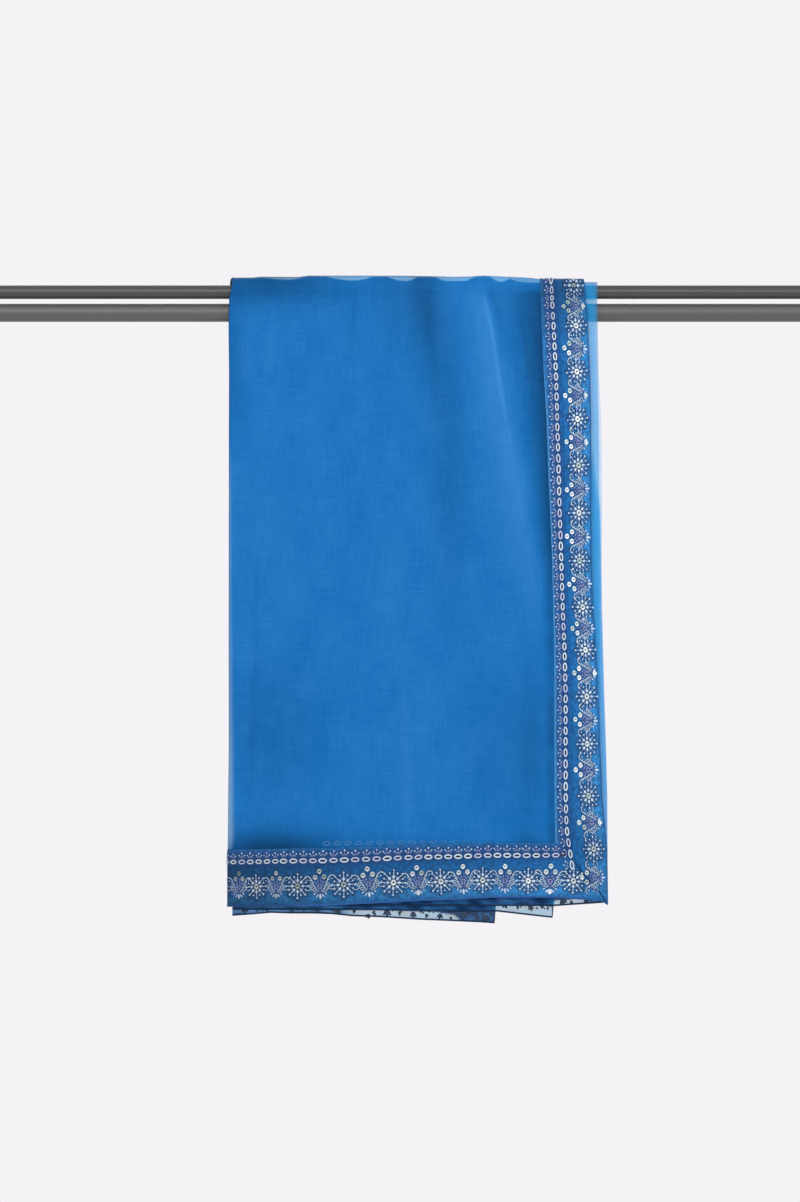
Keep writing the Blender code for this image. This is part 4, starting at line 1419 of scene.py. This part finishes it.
def onSide(along, outward):
    # the side border: along is the run, outward is from its line of flowers
    return lineAt("flowers", np.minimum(along, folds["backLength"])) + outward, along


def onEnd(along, outward):
    # the end border: along is the place across, outward is down from its line of flowers
    height = endHeight(borderForm["flowerShare"], np.maximum(along, folds["left"])) - outward
    return along, runToHeight(height)


def onSideChain(along, outward):
    # as onSide, from the side's line of rings
    return chainAt(np.minimum(along, folds["backLength"])) + outward, along


def onEndChain(along, outward):
    # as onEnd, from the end's line of rings
    return along, runToHeight(endHeight(chainLine, np.maximum(along, folds["left"])) - outward)


# the hidden chain of rings that shows faintly through the cloth above the end border
ghostChain = {
    "height": -484.5 * mm,
    "slope": 0.012,
    "across": (-66, 84, 9.6),  # from, to, step (mm)
}


def onGhostChain(along, outward):
    # a straight line, a little off level
    return along, runToHeight(ghostChain["height"] + ghostChain["slope"] * along - outward)


def tube(line, aside, radius, halfWidth, height, sides, v):
    # a ring of sides at each point of line: radius times halfWidth aside, and up from the cloth
    angle = evenly(0, 2 * pi, sides)
    flat = line[:, None] + (radius * np.cos(angle) * halfWidth)[..., None] * aside
    up = height * 0.5 * (1 + radius * np.sin(angle))
    points = np.concatenate([flat, up[..., None]], -1).reshape(-1, 3)
    return points, tubeFaces(len(line), sides), paired(angle / (2 * pi), v).reshape(-1, 2)


def spindle(start, end, halfWidth, height, fullness=0.6):
    # a stitch or bead: its radius is the sine of the way along, to a power
    start, end = np.array(start, float), np.array(end, float)
    way = (end - start) / max(np.hypot(*(end - start)), 1e-9)
    t = np.linspace(0.03, 0.97, 5)[:, None]
    return tube(start + t * (end - start), np.array([-way[1], way[0]]), np.sin(pi * t) ** fullness,
                halfWidth, height, 6, t)


def curl(path, halfWidth, height, rings=11):
    # a couched cord along a smooth curve through a few points, thinner at its ends
    path = np.array(path, float)
    padded = np.concatenate([[2 * path[0] - path[1]], path, [2 * path[-1] - path[-2]]])
    t = np.linspace(0, len(path) - 1 - 1e-9, rings)
    k = t.astype(int)
    f = (t - k)[:, None]
    p0, p1, p2, p3 = (padded[k + step] for step in range(4))
    line = 0.5 * (2 * p1 + (p2 - p0) * f + (2 * p0 - 5 * p1 + 4 * p2 - p3) * f**2
                  + (3 * p1 - p0 - 3 * p2 + p3) * f**3)
    way = np.gradient(line, axis=0)
    way = way / np.linalg.norm(way, axis=1, keepdims=True)
    aside = np.stack([-way[:, 1], way[:, 0]], -1)[:, None]
    share = np.linspace(0, 1, rings)[:, None]
    radius = 1 - 0.75 * np.abs(2 * share - 1) ** 3
    return tube(line, aside, radius, halfWidth, height, 5, share * 6)


def hoop(centre, alongReach, outReach, level, u, turns, corners):
    # a closed section carried round a centre; corners is the order that faces it outward
    turn = evenly(0, 2 * pi, 12)[:, None]
    points = np.stack(np.broadcast_arrays(
        centre[0] + alongReach * np.cos(turn), centre[1] + outReach * np.sin(turn), level
    ), -1)
    number = np.arange(12 * len(level)).reshape(12, -1)
    onward = np.roll(number, -1, 1)
    faces = np.stack([number, onward, np.roll(onward, -1, 0), np.roll(number, -1, 0)], -1)
    uv = paired(u, turn * turns)
    return points.reshape(-1, 3), (faces[..., corners].reshape(-1, 4), []), uv.reshape(-1, 2)


def loop(halfAlong, halfOut, halfWidth, height):
    # a ring of laid thread: an ellipse with a flattened round section
    angle = evenly(0, 2 * pi, 4) + pi / 4
    reach = halfWidth * np.cos(angle)
    level = height * 0.5 * (1 + np.sin(angle))
    return hoop((0, 0), halfAlong + reach, halfOut + reach, level, angle / (2 * pi), 2, [0, 1, 2, 3])


def disc(centre, radius, hole, height):
    # a cupped sequin with a hole: rings at its hole, middle and rim, above and below
    reach, level = np.array([
        (hole, 0.30), (hole, 0.55), ((hole + radius) / 2, 0.72), (radius * 0.95, 1.0),
        (radius, 0.85), (radius * 0.93, 0.55), ((hole + radius) / 2, 0.35),
    ]).T
    return hoop(centre, reach, reach, level * height, reach / radius, 1, [0, 3, 2, 1])


def mirrored(shapes):
    # the same shapes on the other side of the motif's middle line
    return [((points * (-1, 1, 1)), (faces[0][:, ::-1], [cap[::-1] for cap in faces[1]]), uv)
            for points, faces, uv in shapes]


firmReach = 2.0 * mm  # how far to each side of a firm shape the cloth is measured


def stamp(name, finish, jobs, slotName, seed=1, depth=None, toPoint=clothPoint, firm=False):
    # every shape at every place: turned, sized, laid on its line, lifted off the cloth.
    # jobs: (shapes, places, line); a place is along, outward (m), turn, size, outward size.
    # A firm shape's length is divided by how much the cloth lengthens under it where it turns
    chance = np.random.default_rng(seed)
    allPoints, allFaces, allUv, allTint, allTone, count = [], [], [], [], [], 0
    base = depths["stitch"] if depth is None else depth
    for shapes, places, line in jobs:
        places = np.array(places, float).reshape(-1, 5)
        for points, (quads, caps), uv in shapes:
            local = points * mm
            cos, sin = np.cos(places[:, 2:3]), np.sin(places[:, 2:3])
            size = places[:, 3:4]
            x = (local[:, 0] * cos - local[:, 1] * sin) * size
            y = (local[:, 0] * sin + local[:, 1] * cos) * size * places[:, 4:5]
            if firm:
                middle = x.mean(1, keepdims=True)
                sides = np.array([-1.0, 1.0]) * firmReach + places[:, 0:1] + middle
                level = places[:, 1:2] + y.mean(1, keepdims=True) + 0 * sides
                ends = toPoint(*line(sides, level), base)
                stretch = np.linalg.norm(ends[:, 1] - ends[:, 0], axis=-1)[:, None] / (2 * firmReach)
                x = middle + (x - middle) / stretch
            along, outward = places[:, 0:1] + x, places[:, 1:2] + y
            across, run = line(along, outward)
            placed = toPoint(across, run, base + local[:, 2] * size)
            allTone.append(np.broadcast_to(borderTone(across, run), along.shape).ravel())
            shifts = count + np.arange(len(places))[:, None, None] * len(local)
            allPoints.append(placed.reshape(-1, 3))
            allFaces += (quads[::-1, ::-1][None] + shifts).reshape(-1, 4).tolist()
            for cap in caps:
                allFaces += (cap[::-1][None] + shifts[:, :, 0]).tolist()
            allUv.append(np.tile(uv, (len(places), 1)))
            allTint.append(np.repeat(chance.random(len(places)) ** 1.5, len(local)))
            count += len(places) * len(local)
    piece = makeMesh(name, np.concatenate(allPoints), allFaces, finish, np.concatenate(allUv),
                     {"tint": np.concatenate(allTint), "tone": np.concatenate(allTone)})
    return finishPiece(piece, slotName)


def placesFor(chance, spots, sizes, wobble, spread, squeeze):
    # rows for stamp(), each with a small turn and change of size of its own
    return [(spot, 0.0, chance.normal(0, wobble), size * chance.normal(1, spread), squeeze / size**0.7)
            for spot, size in zip(spots, sizes)]


def motifSpots():
    # flowers and buds on the side and on the end
    chance = np.random.default_rng(7)
    m = motifPlaces
    side = motifRun("side")
    least, reach = m["crestSize"]
    sizes = 1 - (1 - least) * bell(side, reach * mm)
    table = (
        ("sideFlowers", side[1::2], sizes[1::2], 0.05, m["sideOutward"]),
        ("sideBuds", side[::2], sizes[::2], 0.04, m["sideOutward"]),
        ("endFlowers", np.array(m["endFlowers"]) * mm, m["endFlowerSizes"], 0.05, m["endOutward"]),
        ("endBuds", np.array(m["endBuds"]) * mm, m["endBudSizes"], 0.04, m["endOutward"]),
    )
    return {name: placesFor(chance, spots, sizes, wobble, 0.02, squeeze)
            for name, spots, sizes, wobble, squeeze in table}


def ringSpots():
    # rings up the side, over, down the back; and along the end round its fold
    chance = np.random.default_rng(11)
    rows = []
    for kind, first, last in (("side", 1, 116), ("end", -1, 33)):
        table = motifPlaces[kind + "Rings"]
        spots = np.interp(np.arange(first, last + 1), column(table, 0, 1), column(table, 1))
        sizes = np.gradient(spots) / ringPitch
        rows.append(placesFor(chance, spots, sizes, 0.05, 0.035, motifPlaces[kind + "Outward"]))
    return rows


flowerForm = {
    "petals": 8,
    "petal": (3.1, 7.1, 1.32),  # from, to, half width
    "longStem": (6.4, 10.0, 0.34),
    "longBead": (9.9, 12.0, 0.96),
    "shortStem": (4.4, 8.4, 0.32),
    "shortBead": (8.1, 10.0, 0.90),
    "sequin": (2.7, 0.75),  # radius, hole
    # the end's flowers have wider, paler stems
    "endStem": (6.4, 10.2, 0.46),
}


def spokes(count, offset, start, end, halfWidth, height, fullness):
    # the same stitch at each of count turns about the flower's centre
    shapes = []
    for k in range(count):
        turn = 2 * pi * (k + offset) / count
        way = np.array([math.cos(turn), math.sin(turn)])
        shapes.append(spindle(way * start, way * end, halfWidth, height, fullness))
    return shapes


def flowerShapes():
    # petals all round, long stems and beads behind them, short ones between
    f = flowerForm
    petals = spokes(f["petals"], 0, *f["petal"], 0.75, 0.75)
    stems = spokes(f["petals"], 0, *f["longStem"], 0.35, 0.3)
    stems += spokes(f["petals"], 0.5, *f["shortStem"], 0.40, 0.4)
    beads = spokes(f["petals"], 0, *f["longBead"], 0.75, 0.5)
    beads += spokes(f["petals"], 0.5, *f["shortBead"], 0.65, 0.5)
    return petals, stems, beads


budForm = {
    "sequins": ((0, -13.0), (-4.2, -7.8), (4.2, -7.8)),
    "sequin": (2.31, 0.60),
    "arm": ((-14.4, -5.8), (-14.2, -7.8), (-12.2, -9.0), (-9.8, -8.3), (-7.6, -5.4), (-5.8, -0.9),
            (-3.6, 3.0), (-0.5, 5.4)),
    "crescent": ((-8.6, -3.0), (-9.3, -0.2), (-8.4, 2.6), (-5.7, 5.0), (-1.6, 6.3)),
    # short stitches between an arm and its leaf
    "feathers": (
        ((-7.0, -3.2), (-8.7, -2.8)), ((-6.5, -1.6), (-9.1, -0.7)), ((-5.8, 0.2), (-8.9, 1.4)),
        ((-4.8, 1.8), (-7.9, 3.2)), ((-3.5, 3.3), (-6.0, 4.8)), ((-2.2, 4.6), (-3.8, 5.9)),
    ),
    # a thinner cord that closes the arch over the next flower
    "arch": ((-6.6, -3.0), (-8.0, 1.6), (-10.6, 3.8), (-13.2, 3.4), (-14.6, 1.8)),
    "rays": ((-0.6, 3.8, -3.2, -2.6), (0, 3.4, 0, -5.0), (-0.3, 3.0, -1.7, -1.4)),
    "grains": (
        (-3.3, -2.4), (-2.0, 0.6), (-1.2, 2.6), (-4.3, 0.4), (-1.7, -4.0), (-0.9, -1.2),
        (-4.6, 2.9), (-2.6, 4.2), (-5.2, -3.4),
    ),
    "dots": ((-9.9, 0.6), (-12.0, -0.4), (-8.8, -5.2), (-11.4, -5.8)),
    "tip": ((0, 7.0), (0, 12.4), 1.15),
    "tipBeads": (((-1.5, 7.6), (-4.0, 10.4)), ((-4.4, 6.6), (-6.4, 7.8))),
    "tipSequin": (0, 9.4),
}


def budShapes():
    # (scrolls, their navy edges, fine stitches, violet rays, beads); the navy edges are navy thread
    # and painted shadow beside the scrolls
    b = budForm
    half = [curl(b["crescent"], 0.50, 0.7), curl(b["arm"], 0.70, 0.8, 19), curl(b["arch"], 0.48, 0.7)]
    # navy edges, wider and flatter than the scrolls: navy thread with painted shadow beside them
    edges = [curl(b["crescent"], 1.05, 0.2), curl(b["arm"], 1.30, 0.2, 19)]
    fine = [spindle(a, c, 0.36, 0.5, 0.5) for a, c in b["feathers"]]
    rays = [spindle((x0, y0), (x1, y1), 0.40, 0.4, 0.4) for x0, y0, x1, y1 in b["rays"]]
    beads = [spindle(a, c, 0.78, 0.7, 0.5) for a, c in b["tipBeads"]]
    beads += [spindle((x - 0.5, y), (x + 0.5, y), 0.46, 0.6, 0.5) for x, y in b["grains"]]
    beads += [spindle((x - 0.7, y), (x + 0.7, y), 0.66, 0.6, 0.5) for x, y in b["dots"]]
    return (half + mirrored(half), edges + mirrored(edges), fine + mirrored(fine),
            rays + mirrored(rays), beads + mirrored(beads) + [spindle(*b["tip"], 0.9, 0.7)])


sprigForm = {
    "beads": (
        ((0, -7.2), (0, -9.0), 0.84), ((-2.5, -5.4), (-3.4, -6.8), 0.74),
        ((2.5, -5.4), (3.4, -6.8), 0.74), ((-1.5, -4.1), (-1.9, -5.0), 0.50),
        ((1.5, -4.1), (1.9, -5.0), 0.50), ((0, -4.6), (0, -5.6), 0.44),
    ),
    "stems": (((0, -3.0), (0, -7.4)), ((-0.4, -3.2), (-2.7, -5.6)), ((0.4, -3.2), (2.7, -5.6))),
}


def embroider():
    # every stitch, bead and sequin of the laces, one piece for each kind
    m = motifSpots()
    chance = np.random.default_rng(17)
    sideRings, endRings = ringSpots()
    petals, stems, beads = flowerShapes()
    scrolls, edges, fine, rays, budBeads = budShapes()
    flowerJobs = ((m["sideFlowers"], onSide), (m["endFlowers"], onEnd))
    budJobs = ((m["sideBuds"], onSide), (m["endBuds"], onEnd))
    tipJobs = [([spot for spot in spots if chance.random() < 0.35], line) for spots, line in budJobs]
    ringJobs = ((sideRings, onSideChain), (endRings, onEndChain))
    ring = [loop(3.22, 1.68, 0.92, 0.9)]
    sprigBeads = [spindle(a, c, wide, 0.65, 0.5) for a, c, wide in sprigForm["beads"]]
    sprigStems = [spindle(a, c, 0.26, 0.45, 0.4) for a, c in sprigForm["stems"]]
    sequins = [disc(at, *budForm["sequin"], 0.9) for at in budForm["sequins"]]
    centre = [disc((0, 0), *flowerForm["sequin"], 1.2)]
    endStems = spokes(flowerForm["petals"], 0, *flowerForm["endStem"], 0.5, 0.9)
    tip = [disc(budForm["tipSequin"], 2.3, 0.45, 1.1)]
    table = (
        ("ring_chain", "ring", ring, ringJobs, "ring_lace"),
        ("sprig_stems", "violet", sprigStems, ringJobs, "ring_lace"),
        ("sprig_beads", "bead", sprigBeads, ringJobs, "ring_lace"),
        ("flower_petals", "silver", petals, flowerJobs, "flower_lace"),
        ("flower_stems", "lilac", stems, flowerJobs, "flower_lace"),
        ("flower_stems_end", "silver", endStems, flowerJobs[1:], "flower_lace"),
        ("flower_beads", "bead", beads, flowerJobs, "flower_lace"),
        ("bud_shadow_edges", "navy", edges, budJobs, "flower_lace"),
        ("bud_scrolls", "cord", scrolls, budJobs, "flower_lace"),
        ("bud_stitches", "silver", fine, budJobs, "flower_lace"),
        ("bud_rays", "violet", rays, budJobs, "flower_lace"),
        ("bud_beads", "bead", budBeads, budJobs, "flower_lace"),
    )
    pieces = [
        stamp(name, finishes[finish], [(shapes, *job) for job in jobs], slotName, seed)
        for seed, (name, finish, shapes, jobs, slotName) in enumerate(table, 2)
    ]
    sequinJobs = [(sequins, *job) for job in budJobs] + [(centre, *job) for job in flowerJobs]
    sequinJobs += [(tip, *job) for job in tipJobs]
    pieces.append(stamp("sequins", finishes["sequin"], sequinJobs, "flower_lace", 30, firm=True))
    ghostRows = [(spot * mm, 0.0, 0.0, 0.95, 1.0) for spot in np.arange(*ghostChain["across"])]
    flatRing = [loop(3.1, 1.6, 0.95, 0.05)]
    pieces.append(stamp("ring_chain_behind", finishes["ringBehind"],
                        [(flatRing, ghostRows, onGhostChain)], "ring_lace", 13, depths["ghost"]))
    return pieces


stitched = embroider()
print("embroidery stitched:", sum(len(piece.data.polygons) for piece in stitched), "faces")


# wrong side of the embroidery on the under ends


wrongForm = {
    # each end's first tip across, and how far up from the lace's line (mm)
    "ends": (("long", -140, 0.8), ("middle", 96, -2.0), ("short", 146, 1.5)),
    "step": 10.9,
    # stitches: start, end, half width, fullness
    "flower": (
        ((0, -9.0), (0, -1.2), 1.5, 0.5), ((0, -8.0), (-3.6, -3.4), 1.3, 0.5),
        ((0, -8.0), (3.6, -3.4), 1.3, 0.5), ((-3.0, -7.4), (3.0, -7.4), 1.6, 0.6),
    ),
    "bud": (((0, -8.6), (0, -3.0), 1.5, 0.6), ((-2.2, -6.9), (2.2, -6.9), 1.3, 0.6)),
    "knot": (((-1.0, 0), (1.0, 0), 0.7, 0.5),),
}


def wrongSides():
    # dark tips of flowers and buds in turn, painted dark with the shade of their backlit faces,
    # hanging below the lace's edge just above each hem
    chance = np.random.default_rng(21)
    big, small, knot = (
        [spindle(start, end, wide, 0.3, fullness) for start, end, wide, fullness in wrongForm[kind]]
        for kind in ("flower", "bud", "knot")
    )
    for name, lowest, up in wrongForm["ends"]:
        right, depth = underEnds[name][0], underEnds[name][2]
        spots = np.arange(lowest, right - 5, wrongForm["step"])

        def rows(places):
            return [((spot + chance.normal(0, 1.2)) * mm, (up + chance.normal(0, 0.5)) * mm,
                     chance.normal(0, 0.3), chance.uniform(0.65, 1.15), chance.uniform(0.8, 1.1))
                    for spot in places]

        dots = [(chance.uniform(lowest, right - 4) * mm, -chance.uniform(6, 13) * mm,
                 chance.uniform(0, pi), chance.uniform(0.5, 1.3), 1.0) for _ in range(int(right - lowest))]

        def line(along, outward):
            return along, runToHeight(hemAt(name, along) - outward)

        jobs = [(big, rows(spots[::2]), line), (small, rows(spots[1::2]), line), (knot, dots, line)]
        stamp("wrong_side_" + name, finishes["wrongSide"], jobs, "flower_lace", 22,
              (depth + 0.15) * mm, draped)


wrongSides()
print("wrong sides stitched")


# the rods

for node, finish in (("rod_upper", "upperSteel"), ("rod_lower", "lowerSteel")):
    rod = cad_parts[node]
    rod.data.materials.clear()
    rod.data.materials.append(finishes[finish])
print("rods brushed")


# each under end's right edge, read and not used

for name, piece in underPieces.items():
    right = underEnds[name][0] * mm


# camera, light and floor

studio = {
    "frameHeight": 1078.6 * mm,
    "distance": 5.00,
    "centreHeight": -267.75 * mm,
    "clothFront": -13.5 * mm,
    "backdrop": (0.9047, 0.8880, 0.9131),
    "ambient": 0.86,
    "floorHeight": -1.6,
    "floorRadius": 1.6,
    "floorSides": 96,
    # place, aim, long and short side, power, colour
    "lights": (
        ((-0.2, -1.38, 1.90), (0, 0, 0), (3.2, 0.10), 4, (1.0, 0.99, 0.97)),
        ((-0.5, -2.50, 1.00), (0, 0, -0.2), (2.8, 0.9), 29, (1.0, 0.995, 0.985)),
        ((1.9, -2.2, -0.3), (0, 0, -0.25), (1.4, 1.4), 6, (0.97, 0.98, 1.0)),
        ((0.2, 2.0, 1.1), (0, 0, -0.2), (2.4, 1.0), 18, (1.0, 1.0, 1.0)),
    ),
}


def studioSet():
    # camera, lights, backdrop and floor
    s = studio
    camera = bpy.data.cameras.new("camera")
    camera.lens = 36 * s["distance"] / s["frameHeight"]
    view = bpy.data.objects.new("camera", camera)
    view.location = (0, s["clothFront"] - s["distance"], s["centreHeight"])
    view.rotation_euler = (pi / 2, 0, 0)
    bpy.context.scene.collection.objects.link(view)
    bpy.context.scene.camera = view
    for number, (place, target, sides, power, colour) in enumerate(s["lights"]):
        light = bpy.data.lights.new(f"softbox{number}", "AREA")
        light.shape = "RECTANGLE"
        light.size, light.size_y = sides
        light.energy = power
        light.color = colour
        lamp = bpy.data.objects.new(light.name, light)
        lamp.location = place
        aim = np.array(target) - np.array(place)
        lamp.rotation_euler = (
            math.atan2(np.hypot(aim[0], aim[1]), -aim[2]), 0, math.atan2(aim[1], aim[0]) - pi / 2
        )
        bpy.context.scene.collection.objects.link(lamp)
    world = bpy.data.worlds.new("studio")
    bpy.context.scene.world = world
    world.use_nodes = True
    tree = world.node_tree
    backdrop = tree.nodes["Background"]
    backdrop.inputs["Color"].default_value = (*s["backdrop"], 1)
    backdrop.inputs["Strength"].default_value = 1.0
    ambient = tree.nodes.new("ShaderNodeBackground")
    ambient.inputs["Color"].default_value = (*s["backdrop"], 1)
    ambient.inputs["Strength"].default_value = s["ambient"]
    seen = tree.nodes.new("ShaderNodeLightPath")
    either = tree.nodes.new("ShaderNodeMixShader")
    tree.links.new(seen.outputs["Is Camera Ray"], either.inputs[0])
    tree.links.new(ambient.outputs[0], either.inputs[1])
    tree.links.new(backdrop.outputs[0], either.inputs[2])
    tree.links.new(either.outputs[0], tree.nodes["World Output"].inputs["Surface"])
    angle = evenly(0, 2 * pi, s["floorSides"])
    rim = np.stack([s["floorRadius"] * np.cos(angle), s["floorRadius"] * np.sin(angle),
                    s["floorHeight"] + 0 * angle], -1)
    paper = Finish("palePaper")
    cloudy = paper.noise(paper.ownPlace(), 9.0)
    paper.set(Base_Color=paper.blend(cloudy, (0.86, 0.85, 0.865), (0.89, 0.88, 0.895)), Roughness=0.8)
    makeMesh("floor", rim, [list(range(s["floorSides"]))], paper.material)
    bpy.context.scene.view_settings.view_transform = "Standard"


studioSet()
print("studio set")
